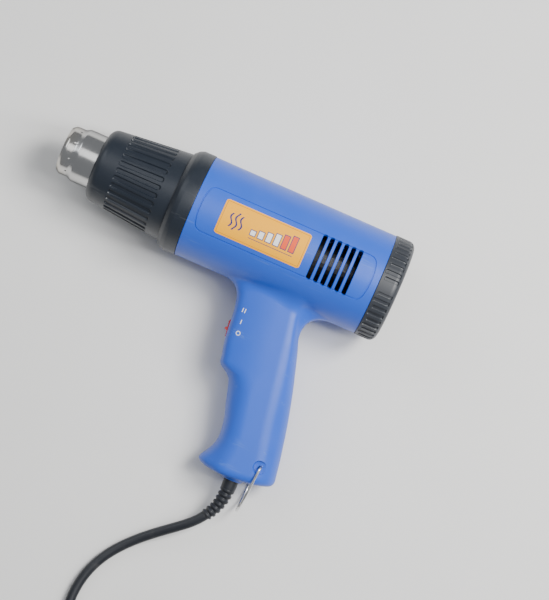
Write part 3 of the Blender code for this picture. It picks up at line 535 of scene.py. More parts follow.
def box_mesh(low, high):
    corners = [(x, y, z) for x in (low[0], high[0]) for y in (low[1], high[1]) for z in (low[2], high[2])]
    faces = [(0, 1, 3, 2), (4, 6, 7, 5), (0, 4, 5, 1), (2, 3, 7, 6), (0, 2, 6, 4), (1, 5, 7, 3)]
    return mesh_from("box", corners, faces)


def merged(meshes):
    """Closed meshes that don't touch, as one cutter."""
    bm = bmesh.new()
    for mesh in meshes:
        bm.from_mesh(mesh)
    out = bpy.data.meshes.new("merged")
    bm.to_mesh(out)
    bm.free()
    return out


# ---------------- housing

BARREL_RADIUS = 36.4
BARREL_X = (-149.5, -15.0)
BARREL_BORE = 34.2
GRIP_HALF = 16.5
SEAM = 0.15  # each shell stops this far from the seam plane
# Grip: (y, x) down its front and rear edges and along the crests where its flat sides end
GRIP_FRONT = [(-25, -103), (-40, -100), (-56, -96.6), (-75, -94.6), (-87, -92), (-91.5, -91.2), (-94, -89),
              (-96.5, -84.8), (-99.6, -81.6), (-105, -79.6), (-116, -76.4), (-126, -73.2), (-136, -71.6),
              (-141, -71.6), (-146, -73), (-151, -75.6), (-155.5, -78.8), (-158, -80), (-166, -80)]
GRIP_REAR = [(-25, -57), (-40, -52.8), (-54, -48.8), (-64, -45), (-80, -40), (-95, -35.6), (-115, -30.5),
             (-135, -26.3), (-149, -23.8), (-156, -22.8), (-166, -22.8)]
FRONT_CREST = [(-20, -83), (-35, -81.5), (-60, -78), (-75, -75), (-95, -69.5), (-118, -64.2), (-135, -61.2),
               (-150, -61.5), (-166, -64)]
REAR_CREST = [(-20, -60), (-45, -55.5), (-75, -50.5), (-95, -47), (-118, -43), (-135, -39.4), (-150, -36.5),
              (-166, -35)]
# The foot: (x, y) along its sole
GRIP_SOLE = [(-85, -158.6), (-79, -160.0), (-72, -161.1), (-62, -161.6), (-50, -161.0), (-37.5, -159.5),
             (-28, -158.0), (-15, -156.0)]
FRONT_BEVEL, FRONT_BEVEL_GAIN = 0.26, 0.46  # slope above the finger step, and what it gains below it
REAR_BEVEL = 0.72
CREST_ROUND = 7.0
SOLE_ROUND = 6.0
FILLET, REAR_FILLET_GAIN = 12.0, 12.0  # between barrel and grip
BOSS_RADIUS, BOSS_TAPER, BOSS_END_Y = 8.4, 0.22, -163.2
NET_STEP = 0.9
SWITCH_OFF = np.array((-94.84, -68.5))
SWITCH_TILT = math.atan2(6.5, 38.0)
SWITCH_STEP = 8.0
MARK_X = -88.2
MARKS = [(MARK_X - 1.9, -52.6), (MARK_X - 0.7, -60.5), (MARK_X + 0.6, -68.4)]  # high, low, off
SLIDER_HALF_LENGTH = 6.5
SLIDER_HALF_WIDTH = 3.6
BAIL_PIVOT = np.array((-37.0, -146.3))
CORD_BOSS_X = -51.3
SCREW_SPOTS = {  # x, y, and the height of the seat under the head
    "rear_top": (-27.0, 28.5, -10.0),
    "rear_bottom": (-27.0, -28.5, -10.0),
    "front_top": (-130.0, 28.5, -10.0),
    "front_bottom": (-130.0, -28.5, -10.0),
    "grip_middle": (-46.0, -104.0, -11.5),
    "grip_foot": (-64.0, -149.0, -11.5),
}


def curve_through(points):
    """A smooth function of the first coordinate through (input, output) points."""
    table = np.array(smooth_path(points, 0.5))
    table = table[np.argsort(table[:, 0])]
    return lambda value: np.interp(value, table[:, 0], table[:, 1])


front_edge, rear_edge, sole_edge = map(curve_through, (GRIP_FRONT, GRIP_REAR, GRIP_SOLE))
front_crest, rear_crest = map(curve_through, (FRONT_CREST, REAR_CREST))


def blend_max(a, b, radius):
    """The larger of two distances, with the edge between them rounded."""
    h = np.maximum(radius - np.abs(a - b), 0) / radius
    return np.maximum(a, b) + h * h * radius / 4


def blend_min(a, b, radius):
    return -blend_max(-a, -b, radius)


def slope_of(edge, y):
    return edge(y + 0.5) - edge(y - 0.5)


def grip_distance(p):
    """Rounded grip: front and rear walls, two flat sides, and a bevel from each crest towards each wall."""
    x, y, z = p[..., 0], p[..., 1], np.abs(p[..., 2])
    front = (front_edge(y) - x) / np.hypot(1, slope_of(front_edge, y))
    rear = (x - rear_edge(y)) / np.hypot(1, slope_of(rear_edge, y))
    side = z - GRIP_HALF
    slope = FRONT_BEVEL + FRONT_BEVEL_GAIN * smoothstep(-88, -106, y)
    front_bevel = ((front_crest(y) - x) * slope + side) / np.hypot(1, slope)
    rear_bevel = ((x - rear_crest(y)) * REAR_BEVEL + side) / math.hypot(1, REAR_BEVEL)
    walls = blend_max(blend_max(front, front_bevel, CREST_ROUND),
                      blend_max(rear, rear_bevel, CREST_ROUND), 1.0)
    sole = (sole_edge(x) - y) / 1.01
    return blend_max(blend_max(walls, side, 3.0), sole, SOLE_ROUND)


def housing_distance(p):
    """Negative inside the moulding: barrel, grip with its fillets, and the boss round the cord."""
    x, y, z = p[..., 0], p[..., 1], p[..., 2]
    barrel = np.hypot(y, z) - BARREL_RADIUS
    grip = blend_max(grip_distance(p), y + 8.0, 1.0)
    fillet = FILLET + REAR_FILLET_GAIN * smoothstep(-85, -55, x)
    body = blend_min(barrel, grip, fillet * (1 - 0.65 * smoothstep(7, 16, np.abs(z))))
    boss = np.hypot(x - CORD_BOSS_X, z) - (BOSS_RADIUS + BOSS_TAPER * (y + 158))
    boss = blend_max(blend_max(boss, BOSS_END_Y - y, 1.6), y + 150, 1.0)
    ends = np.maximum(BARREL_X[0] - 2 - x, x - BARREL_X[1] - 2)
    return np.maximum(blend_min(body, boss, 3.0), ends)


def next_along(axis):
    """Two indices of a grid: every point that has a next one along the axis, and that next one."""
    first, second = [slice(None)] * 3, [slice(None)] * 3
    first[axis], second[axis] = slice(0, -1), slice(1, None)
    return tuple(first), tuple(second)


def surface_net(distance, low, high, step):
    """A quad mesh of where the distance is 0: one point in each grid cell that the surface crosses."""
    axes = [np.arange(a, b + step, step) for a, b in zip(low, high)]
    grid = np.stack(np.meshgrid(*axes, indexing="ij"), -1)
    value = distance(grid)
    inside = value < 0
    shape = np.array(value.shape) - 1
    total, count = np.zeros((*shape, 3)), np.zeros(shape)
    for axis in range(3):
        first, second = next_along(axis)
        crosses = inside[first] != inside[second]
        a, b = value[first], value[second]
        t = np.where(crosses, a / np.where(crosses, a - b, 1), 0)
        point = grid[first] + (grid[second] - grid[first]) * t[..., None]
        m, n = [k for k in range(3) if k != axis]
        for dm, dn in ((0, 0), (0, 1), (1, 0), (1, 1)):
            pick = [slice(None)] * 3
            pick[m], pick[n] = slice(dm, dm + shape[m]), slice(dn, dn + shape[n])
            pick = tuple(pick)
            total += np.where(crosses[pick][..., None], point[pick], 0)
            count += crosses[pick]
    active = count > 0
    number = -np.ones(shape, int)
    number[active] = np.arange(active.sum())
    faces = []
    for axis in range(3):
        first, second = next_along(axis)
        cells = np.argwhere(inside[first] != inside[second])
        m, n = [k for k in range(3) if k != axis]
        pair = cells[:, [m, n]]
        cells = cells[((pair > 0) & (pair < shape[[m, n]])).all(1)]
        quad = []
        for dm, dn in ((-1, -1), (0, -1), (0, 0), (-1, 0)):
            cell = cells.copy()
            cell[:, m] += dm
            cell[:, n] += dn
            quad.append(number[tuple(cell.T)])
        faces.append(np.stack(quad, 1))
    return total[active] / count[active][:, None], np.concatenate(faces)


def settle(points, faces, distance):
    """Evens the points out along the surface and puts them exactly on it."""
    sides = np.concatenate([faces[:, [k, (k + 1) % 4]] for k in range(4)])
    edges = np.unique(np.sort(sides, 1), axis=0)
    degree = np.bincount(edges.ravel(), minlength=len(points))[:, None]
    h = 0.02

    def project(p):
        for _ in range(3):
            gradient = np.stack([distance(p + h * e) - distance(p - h * e) for e in np.eye(3)], -1) / (2 * h)
            steepness = np.maximum((gradient ** 2).sum(1, keepdims=True), 0.05)
            p = p - distance(p)[:, None] * gradient / steepness
        return p

    points = project(points)
    for _ in range(3):
        total = np.zeros_like(points)
        for k in range(3):
            total[:, k] = np.bincount(edges[:, 0], points[edges[:, 1], k], len(points))
            total[:, k] += np.bincount(edges[:, 1], points[edges[:, 0], k], len(points))
        points = project(0.5 * points + 0.5 * total / degree)
    return points


def around_barrel(x, arc, radius):
    """A point on the barrel's left side: arc is the distance up round the surface from its middle."""
    angle = arc / BARREL_RADIUS
    return (x, radius * math.sin(angle), radius * math.cos(angle))


def mirrored(rings, side):
    return [[(x, y, side * z) for x, y, z in ring] for ring in rings]


PANEL_X = (-145.2, -19.8)
PANEL_HALF = 16.2
PANEL_BOW = 2.5
GROOVE = [(-0.62, 37.4), (-0.5, 36.15), (-0.28, 35.75), (0.28, 35.75), (0.5, 36.15), (0.62, 37.4)]
VENT_COUNT = 6
VENT_PITCH = 5.2
VENT_WIDTH = 2.9
VENT_FIRST_X = -59.6
VENT_HALF = 16.6


def groove_cutter(side):
    """The engraved line round the side panel: straight long sides, bowed ends and round corners."""
    left, right = PANEL_X
    corners = [(left + PANEL_BOW, -PANEL_HALF), (right - PANEL_BOW, -PANEL_HALF), (right - 0.3, -5.5),
               (right - 0.3, 5.5), (right - PANEL_BOW, PANEL_HALF), (left + PANEL_BOW, PANEL_HALF),
               (left + 0.3, 5.5), (left + 0.3, -5.5)]
    rings = swept(closed_path(soften(corners, [9, 9, 25, 25] * 2, 8), 1.5), GROOVE)
    rings = [[around_barrel(*point) for point in ring] for ring in rings]
    return loft("groove", mirrored(rings, side), closed=True)


def vent_cutters(side):
    stations = [(-VENT_HALF - 0.5, 0.9), *[(v, 0) for v in np.linspace(-VENT_HALF, VENT_HALF, 25)],
                (VENT_HALF + 0.5, 0.9)]
    meshes = []
    for i in range(VENT_COUNT):
        rings = []
        for arc, narrow in stations:
            w = VENT_WIDTH / 2 - narrow
            section = [(-w, 30.0), (-w, 35.7), (-w - 0.45, 36.8), (w + 0.45, 36.8), (w, 35.7), (w, 30.0)]
            rings.append([around_barrel(VENT_FIRST_X + i * VENT_PITCH + dx, arc, r) for dx, r in section])
        meshes.append(loft("vent", mirrored(rings, side)))
    return merged(meshes)


def switch_point(h, s, w):
    """h out of the grip's front surface, s up it from the off position, w across."""
    sin, cos = math.sin(SWITCH_TILT), math.cos(SWITCH_TILT)
    return (SWITCH_OFF[0] - h * cos - s * sin, SWITCH_OFF[1] - h * sin + s * cos, w)


def rectangle(low_u, high_u, low_v, high_v):
    return [(low_u, low_v), (high_u, low_v), (high_u, high_v), (low_u, high_v)]


def switch_slot_cutter():
    low, high = -SLIDER_HALF_LENGTH - 0.7, SLIDER_HALF_LENGTH + 2 * SWITCH_STEP + 0.7
    half = SLIDER_HALF_WIDTH + 0.3
    rings = []
    for h, grow in ((-7.5, 0), (-0.9, 0), (-0.2, 0.25), (1.2, 1.1), (5, 1.1)):
        outline = soften(rectangle(low - grow, high + grow, -half - grow, half + grow), 0.8, 3)
        rings.append([switch_point(h, s, w) for s, w in outline])
    return loft("slot", rings)


def pin(spot, profile, side):
    """A stepped round cutter across the gun: (distance from the seam, radius) from the inside out."""
    return loft("pin", [[(spot[0] + r * math.cos(a), spot[1] + r * math.sin(a), side * z)
                         for a in around(40)] for z, r in profile])


def inner_grip():
    """The hollow of the grip, behind the switch and above the cord."""
    rings = []
    for y in (-30, -45, -60, -75, -88, -92, -97, -104, -120, -135, -146, -153, -157.5):
        front, rear = float(front_edge(y)) + 4.4, float(rear_edge(y)) - 4.0
        outline = [(front, -4), (front + 14, -12), (rear - 10, -12), (rear, -5), (rear, 5), (rear - 10, 12),
                   (front + 14, 12), (front, 4)]
        rings.append([(x, y, z) for x, z in outline])
    return loft("hollow", rings)


def housing():
    points, faces = surface_net(housing_distance, (-160, -168, -42), (-6, 42, 42), NET_STEP)
    points = settle(points, faces, housing_distance)
    solid = mesh_from("housing", points, faces)
    solid = cut(solid, [merged([box_mesh((-170, -60, -60), (BARREL_X[0], 60, 60)),
                                box_mesh((BARREL_X[1], -60, -60), (10, 60, 60))])])
    bore = turned("bore", [(-160, 0), (-160, BARREL_BORE), (0, BARREL_BORE), (0, 0)], 96, closed=False)
    cord_hole = loft("hole", [[(CORD_BOSS_X + r * math.cos(a), y, r * math.sin(a)) for a in around(40)]
                              for y, r in ((-150, 5.6), (-162.5, 5.6), (-163.6, 6.3), (-170, 6.3))])
    solid = cut(solid, [bore, inner_grip(), switch_slot_cutter(), cord_hole])
    solid = cut(solid, [groove_cutter(1), groove_cutter(-1), vent_cutters(1), vent_cutters(-1)])
    paint = blue_plastic()
    for name, side in (("left_housing", 1), ("right_housing", -1)):
        away = sorted((side * SEAM, -side * 80.0))
        shell = cut(solid.copy(), [box_mesh((-200, -200, away[0]), (50, 80, away[1]))])
        socket = [(8, 1.3), (13.2, 1.3), (13.4, 1.9), (13.6, 4.3), (15.4, 4.6), (16.1, 5.0), (18, 6.2)]
        holes = [pin(BAIL_PIVOT, socket, side)]
        if side < 0:
            holes += [pin((x, y), [(-seat - 3, 3.3), (40, 3.3)], side) for x, y, seat in SCREW_SPOTS.values()]
        shell = cut(shell, [merged(holes)])
        place(f"{name}_shell", shaded(shell, 28), paint, "gun", name, slot="blue_plastic")


# ---------------- labels

LABEL_X = (-130.0, -67.9)
LABEL_HALF = 12.4
LABEL_RADII = (36.42, 36.68)
LABEL_CORNER = 1.8
LABEL_COLUMNS, LABEL_ROWS = 60, 36


def label_paint():
    """Orange film with a thin dark border, three heat waves and a rising row of bars: a generic graphic."""
    paint = Paint("printed_label", ORANGE, 0.45, Specular_IOR_Level=0.25)
    paint.tone(paint.noise(40.0), 0.05)
    u, v, _ = paint.split(paint.node("UVMap").outputs[0])  # in centimetres from the label's middle

    def inside(distance):
        return paint.ramp(distance, 0.006, -0.006)

    def rect(centre_u, centre_v, half_u, half_v):
        return paint.math("MAXIMUM", paint.math("SUBTRACT", paint.away(u, centre_u), half_u),
                          paint.math("SUBTRACT", paint.away(v, centre_v), half_v))

    half_u, half_v = (LABEL_X[1] - LABEL_X[0]) / 20, LABEL_HALF / 10
    border = paint.math("SUBTRACT", paint.math("ABSOLUTE", rect(0, 0, half_u - 0.12, half_v - 0.12)), 0.016)
    paint.over(inside(border), (0.50, 0.17, 0.02))

    wave = paint.math("MULTIPLY", paint.math("SINE", paint.math("MULTIPLY", v, 7.0)), 0.10)
    lean = paint.math("ADD", u, wave)
    waves = None
    for k, reach in enumerate((0.48, 0.62, 0.48)):
        line = paint.math("SUBTRACT", paint.away(lean, -2.32 + 0.36 * k), 0.062)
        one = paint.math("MAXIMUM", line, paint.math("SUBTRACT", paint.away(v, 0.0), reach))
        waves = one if waves is None else paint.math("MINIMUM", waves, one)
    paint.over(inside(waves), NAVY)

    for k in range(6):
        centre, height = -0.62 + 0.56 * k, 0.16 + 0.075 * k
        bar = rect(centre, -0.42 + height, 0.17, height)
        paint.over(inside(paint.math("SUBTRACT", bar, 0.055)), NAVY)
        paint.over(inside(bar), WHITE if k < 4 else (0.85, 0.10, 0.03))
    paint.over(inside(rect(0.78, -0.66, 1.6, 0.022)), NAVY)
    return paint.raised(paint.noise(900.0), 0.01, 0.4).done()


def label(name, side, paint):
    """A film with round corners that follows the barrel, with its print laid out in a UV map."""
    middle, half = sum(LABEL_X) / 2, (LABEL_X[1] - LABEL_X[0]) / 2
    columns, rows = LABEL_COLUMNS, LABEL_ROWS
    points, flat = [], []
    for radius in LABEL_RADII:
        for v in np.linspace(-LABEL_HALF, LABEL_HALF, rows + 1):
            over = max(abs(v) - (LABEL_HALF - LABEL_CORNER), 0)
            inset = LABEL_CORNER - math.sqrt(max(LABEL_CORNER ** 2 - over ** 2, 0))
            for k in range(columns + 1):
                u = (half - inset) * (2 * k / columns - 1)
                points.append(around_barrel(middle + u, v, radius))
                flat.append((u, v))
    width, layer = columns + 1, (rows + 1) * (columns + 1)
    faces = []
    for i in range(rows):
        for a in range(i * width, i * width + columns):
            faces.append((a, a + 1, a + width + 1, a + width))
            faces.append((layer + a, layer + a + width, layer + a + width + 1, layer + a + 1))
    rim = [*range(columns), *[i * width + columns for i in range(rows)],
           *range(rows * width + columns, rows * width, -1), *[i * width for i in range(rows, 0, -1)]]
    faces += [(a, b, layer + b, layer + a) for a, b in zip(rim, rim[1:] + rim[:1])]
    mesh = mesh_from(name, mirrored([points], side)[0], faces, sharp=40)
    uv = mesh.uv_layers.new(name="print")
    for loop in mesh.loops:
        u, v = flat[loop.vertex_index]
        uv.data[loop.index].uv = (u / 10 * side, v / 10)
    place(f"{name}_film", mesh, paint, "gun", name, slot="label_film")


# ---------------- barrel fittings

GUARD_NOSE_X, GUARD_REAR_X = -216.5, -164.8
GUARD_FRONT_R, GUARD_REAR_R = 26.6, 31.9
FLUTES = 32
FLUTE_MIDDLE, FLUTE_HALF = -190.8, 16.2
FLUTE_HALF_WIDTH, FLUTE_DEPTH = 1.65, 1.0
NOSE_ROUND = 6.5


def guard_cone(x):
    return GUARD_FRONT_R + (GUARD_REAR_R - GUARD_FRONT_R) * (x - GUARD_NOSE_X) / (GUARD_REAR_X - GUARD_NOSE_X)


def front_guard(paint):
    nose = [(GUARD_NOSE_X + NOSE_ROUND * math.cos(a), GUARD_FRONT_R - NOSE_ROUND + NOSE_ROUND * math.sin(a))
            for a in np.radians(np.linspace(168, 90, 12))]
    cone = dense([(x, guard_cone(x)) for x in (GUARD_NOSE_X + 0.4, GUARD_REAR_X + 0.4)], 0.45)
    rear = soften([(GUARD_REAR_X - 0.2, GUARD_REAR_R), (GUARD_REAR_X, GUARD_REAR_R), (GUARD_REAR_X, 29.8),
                   (-158.6, 29.8), (-158.6, 27.8), (-167, 27.8), (-215.5, 23.9), (-220.4, 21.0),
                   (-222.86, 20.0)], [0, 0.5, 0.3, 0, 0, 0, 2, 0.8, 0.8], 4, closed=False)

    def flutes(x, r, a):
        edge = rounded_box_distance(off_middle(a, FLUTES) * guard_cone(x), x - FLUTE_MIDDLE,
                                    FLUTE_HALF_WIDTH, FLUTE_HALF, 1.3)
        return np.where(r > guard_cone(x) - 0.2, FLUTE_DEPTH * smoothstep(0.22, -0.3, edge), 0)

    mesh = turned("front_guard", [*nose, *cone, *rear], FLUTES * 22, shape=flutes, sharp=40)
    place("front_guard_moulding", mesh, paint, "gun", "front_guard", slot="black_plastic")


def front_collar(paint):
    profile = soften([(-164.5, 30.2), (-164.5, 32.9), (-161.6, 35.6), (-158.5, 36.9), (-149.8, 36.9),
                      (-149.8, 33.0), (-156, 31.6), (-157, 30.2)], [0.2, 0.7, 2.5, 3.0, 0.35, 0, 0, 0], 6)
    place("front_collar_moulding", turned("front_collar", profile, 192), paint, "gun", "front_collar",
          slot="black_plastic")


CAP_RADIUS = 36.9
CAP_ROUND = 5.0
CAP_RECESSES = 44
RECESS_HALF_WIDTH, RECESS_HALF, RECESS_MIDDLE, RECESS_DEPTH = 1.45, 5.0, -7.4, 1.0
CAP_PADS = 4  # plain stretches of the rim
PAD_HALF = 4.4
CAP_SLOTS = 12


def rear_cap(paint):
    corner = [(CAP_ROUND * (math.cos(a) - 1), CAP_RADIUS + CAP_ROUND * (math.sin(a) - 1))
              for a in np.radians(np.linspace(0, 90, 14))]
    band = dense([corner[-1], (-14.2, CAP_RADIUS)], 0.4)
    inside = [(-14.5, CAP_RADIUS), (-14.8, CAP_RADIUS - 0.4), (-14.8, 33.8), (-21, 33.8), (-21, 31.8),
              (-4, 31.8), (-4, 0)]
    face = soften([(-1.5, 0), (-1.5, 26.2), (0, 27.2), (0, 29)], [0, 1.2, 0.8, 0], 4, closed=False)

    def recesses(x, r, a):
        every_second = np.round(a / (2 * np.pi / CAP_RECESSES)).astype(int) % 2
        longer = every_second * 0.6
        edge = rounded_box_distance(off_middle(a, CAP_RECESSES) * CAP_RADIUS, x - RECESS_MIDDLE + longer,
                                    RECESS_HALF_WIDTH, RECESS_HALF + longer, 0.7)
        pad = np.abs(off_middle(a, CAP_PADS) * CAP_RADIUS) < PAD_HALF
        return np.where((r > 34.0) & (x > -14.0) & ~pad, RECESS_DEPTH * smoothstep(0.2, -0.25, edge), 0)

    mesh = turned("rear_cap", [*face, *corner, *band[1:], *inside], CAP_RECESSES * 16, closed=False,
                  shape=recesses)
    slots = []
    for angle in around(CAP_SLOTS):
        turn = Matrix.Rotation(angle, 4, "X")
        rings = []
        for x, grow in ((-6, 0), (-2.1, 0), (-1.0, 0.6), (2, 0.6)):
            outline = soften(rectangle(8 - grow, 24 + grow, -1.6 - grow, 1.6 + grow), 1.2, 4)
            rings.append([tuple(turn @ Vector((x, u, w))) for u, w in outline])
        slots.append(loft("slot", rings))
    mesh = cut(mesh, [merged(slots)])
    place("rear_cap_moulding", shaded(mesh, 35), paint, "gun", "rear_cap", slot="black_plastic")


NOZZLE_RADIUS, LIP_RADIUS, NOZZLE_WALL = 19.2, 17.5, 0.6
NOZZLE_REAR_X = -141.0
DIMPLES, DIMPLE_X, DIMPLE_DEPTH = 10, -240.6, 0.4


def nozzle(paint):
    r, lip, wall = NOZZLE_RADIUS, LIP_RADIUS, NOZZLE_WALL
    outline = soften([(NOZZLE_REAR_X, r), (-236.2, r), (-239.6, lip), (-245.6, lip), (-248, lip - 1.7),
                      (-247.9, lip - 2.3), (-245.2, lip - wall), (-239.8, lip - wall), (-236.4, r - wall),
                      (NOZZLE_REAR_X, r - wall)], [0, 1.6, 2.2, 2.2, 0.25, 0.25, 1.6, 1.6, 1.6, 0], 6)
    # points close together near the mouth only, where the dimples are
    profile = [p for p in closed_path(outline, 0.6) if p[0] < -200 or p[0] == NOZZLE_REAR_X]

    def dimples(x, r, a):
        spot = np.hypot((x - DIMPLE_X) / 1.3, off_middle(a, DIMPLES) * lip / 0.8)
        return DIMPLE_DEPTH * smoothstep(1.0, 0.2, spot)

    mesh = turned("nozzle", profile, 320, shape=dimples, sharp=50)
    place("nozzle_tube", mesh, paint, "gun", "nozzle", slot="nozzle_steel")


# ---------------- screws, switch and bail

def screws(paint):
    head = soften([(-2.2, 0), (-2.2, 2.1), (-1.1, 2.85), (0, 2.85), (0, 1.4), (15.5, 1.4), (17, 0.5),
                   (17, 0)],
                  [0, 0.7, 0.6, 0.15, 0, 0.2, 0.2, 0], 5, closed=False)
    body = turned("screw", head, 48, closed=False, matrix=Matrix.Rotation(math.radians(-90), 4, "Y"))
    for c, s in ((1, 0), (0, 1)):
        rings = [[(u * c - w * s, u * s + w * c, z) for u, w in rectangle(-long, long, -wide, wide)]
                 for z, long, wide in ((-0.6, 0.7, 0.30), (-1.4, 1.45, 0.36), (-3.2, 1.75, 0.42))]
        body = cut(body, [loft("blade", rings)])
    shaded(body, 30).materials.append(paint)
    for name, (x, y, seat) in SCREW_SPOTS.items():
        screw = new_object(f"screw_{name}_steel", body)
        spin = Matrix.Rotation(x * 0.7 + y, 4, "Z")
        screw.matrix_world = GUN @ Matrix.Translation(Vector((x, y, seat - 0.3)) * MM) @ spin
        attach(screw, "gun")
        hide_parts(f"screw_{name}")


def switch_slider():
    """A red thumb slide with fine grip ridges each side of a taller middle ridge."""
    edge = SLIDER_HALF_LENGTH
    top = [(-5.0, edge), (0.5, edge)]
    for s in (5.0, 3.6, 2.2):
        top += [(1.0, s + 0.55), (1.35, s + 0.25), (1.35, s - 0.1), (1.0, s - 0.45)]
    top += [(1.5, 1.25), (2.95, 0.45)]
    outline = soften([*top, *[(h, -s) for h, s in reversed(top)]], 0.22, 3)
    middle = np.mean(outline, axis=0)
    inward = [(middle - p) / max(np.linalg.norm(middle - p), 1) for p in outline]
    rings = [[switch_point(*(p + way * inset), w * SLIDER_HALF_WIDTH) for p, way in zip(outline, inward)]
             for w, inset in ((-1, 0.5), (-0.9, 0.12), (-0.78, 0), (0.78, 0), (0.9, 0.12), (1, 0.5))]
    paint = Paint("red_slider_plastic", (0.72, 0.035, 0.03), 0.33)
    paint.speckle(1500, 0.03, 0.4)
    paint.scuffs((0.85, 0.30, 0.26), 0.4)
    place("switch_slider_thumb", loft("switch_slider", rings, sharp=35), paint.done(), "slider",
          "switch_slider", slot="red_plastic")


BAIL_WIRE = 0.9
BAIL_HALF_WIDTH = GRIP_HALF + 0.3 + BAIL_WIRE
BAIL_LEG = 17.0
BAIL_BEND = 2.0
BAIL_LEAN = math.radians(-4.3)


def hanging_bail(paint):
    w, bend = BAIL_HALF_WIDTH, BAIL_BEND
    half = [(0, 0, 11.0), (0, 0, w - bend)]
    half += [(0, -bend * (1 - math.cos(a)), w - bend + bend * math.sin(a))
             for a in np.radians((15, 30, 45, 60, 75, 90))]
    half += [(0, -y, w) for y in (5, 9, 13, BAIL_LEG)]
    half += [(0, -BAIL_LEG - w * math.sin(a), w * math.cos(a)) for a in np.radians(np.arange(6, 90, 6))]
    points = [*half, (0, -BAIL_LEG - w, 0), *[(x, y, -z) for x, y, z in reversed(half)]]
    lean = Matrix.Rotation(BAIL_LEAN, 3, "Z")
    moved = [(lean @ Vector(p) + Vector((*BAIL_PIVOT, 0))) * MM for p in points]
    place("hanging_bail_wire", wire_curve("bail", moved, BAIL_WIRE * MM, 5), paint, "bail", "hanging_bail",
          slot="bail_wire")


# ---------------- strain relief, cord and plug

RELIEF_PATH = [(-51.3, -154.5), (-51.3, -163), (-51.2, -170), (-51.9, -178), (-54.0, -185.5), (-57.8, -192.5)]
RIB_START = 16.4
RIB_PITCH = 3.7
GROOVE_DEPTH = 0.95
SLEEVE_RADIUS, SLEEVE_TAPER = 5.35, 0.95
FLANGE = 2.2


def strain_relief(paint):
    """A tapered rubber sleeve that bends with the cord: a smooth neck, then ribs with narrow grooves."""
    path = smooth_path(RELIEF_PATH, 0.22)
    run = np.concatenate([[0], np.cumsum([np.linalg.norm(b - a) for a, b in zip(path, path[1:])])])
    rings = []
    for i, p in enumerate(path):
        depth, last = run[i], run[-1]
        radius = SLEEVE_RADIUS - SLEEVE_TAPER * smoothstep(10, last, depth)
        if RIB_START - 1 < depth < last - 1.2:
            phase = (depth - RIB_START) % RIB_PITCH - RIB_PITCH / 2
            radius -= GROOVE_DEPTH * smoothstep(1.25, 0.25, abs(phase))
        radius += FLANGE * smoothstep(2.0, 1.5, depth) - 0.5 * smoothstep(last - 0.7, last, depth)
        ahead = path[min(i + 1, len(path) - 1)] - path[max(i - 1, 0)]
        across = np.array((-ahead[1], ahead[0])) / np.linalg.norm(ahead)
        rings.append([(*(p + across * radius * math.cos(a)), radius * math.sin(a)) for a in around(40)])
    place("strain_relief_sleeve", loft("strain_relief", rings, sharp=50), paint, "gun", "strain_relief",
          slot="rubber")


CORD_RADIUS = 3.5
# x, y and height of the middle of the cord, from the strain relief to the outside of the coil
CORD_FLOOR_ROUTE = [(54.0, -126.3, 12.2), (43.0, -135.3, 8.6), (30.3, -146.3, 5.2), (15.8, -162.7, 3.6),
                    (6.1, -182.5, 3.6), (3.5, -203.4, 3.6), (7.2, -223.7, 3.6), (13.2, -242.7, 3.6),
                    (20.4, -259.5, 3.6)]
COIL_CENTRE = np.array((70.8, -238.8))
# Radius and height of each turn of the coil
COIL_LANES = [(47.0, 5.0), (40.0, 5.0), (33.0, 5.0), (33.0, 12.0), (40.0, 12.0), (47.0, 12.0)]
COIL_STEP = 6.0  # degrees between points
LANE_CHANGE = 85.0  # degrees over which the cord moves from one turn's place to the next
COIL_LEAVE = 150.0  # the last turn leaves the coil here, in degrees round it
TAIL_RADIUS = 30.0
TAIL_HEIGHT = 19.6
PLUG_PLACE = (13.0, -21.5, 23.1)  # the plug's middle, from the coil's centre
PLUG_REAR = -23.0  # where the cord meets it, from its middle


def ring_point(angle, radius):
    return np.array((math.cos(angle), math.sin(angle))) * radius


def coil_points():
    """The coil's turns, one lane after another, and the tail that crosses over them to the plug."""
    *arrive, arrive_height = CORD_FLOOR_ROUTE[-1]
    offset = np.array(arrive) - COIL_CENTRE
    start = math.degrees(math.atan2(offset[1], offset[0])) % 360
    end = COIL_LEAVE + 360 * len(COIL_LANES)
    first_change = start + 310
    last = len(COIL_LANES) - 1
    points = []
    for angle in np.arange(start + COIL_STEP, end + 1e-6, COIL_STEP):
        lane = (angle - first_change) / 360 + 1
        whole = max(math.floor(lane), 0)
        blend = smoothstep(0.0, LANE_CHANGE / 360, lane - whole) if whole > 0 else 1.0
        low, high = COIL_LANES[min(max(whole - 1, 0), last)], COIL_LANES[min(whole, last)]
        radius, height = (a + (b - a) * blend for a, b in zip(low, high))
        before_coil = 1 - smoothstep(start, start + 70, angle)
        radius += (np.linalg.norm(offset) - COIL_LANES[0][0]) * before_coil
        height += (arrive_height - COIL_LANES[0][1]) * before_coil
        height += (TAIL_HEIGHT - COIL_LANES[-1][1]) * smoothstep(end - 38, end, angle)
        points.append((*(COIL_CENTRE + ring_point(math.radians(angle), radius)), height))
    leave = math.radians(COIL_LEAVE)
    middle = COIL_CENTRE + ring_point(leave, COIL_LANES[-1][0] - TAIL_RADIUS)
    for step in range(12, 121, 12):
        height = TAIL_HEIGHT + (PLUG_PLACE[2] - TAIL_HEIGHT) * smoothstep(40, 120, step)
        points.append((*(middle + ring_point(leave + math.radians(step), TAIL_RADIUS)), height))
    rear = COIL_CENTRE + (PLUG_PLACE[0] + PLUG_REAR + 1.5, PLUG_PLACE[1])
    return [*points, (*rear, PLUG_PLACE[2])]


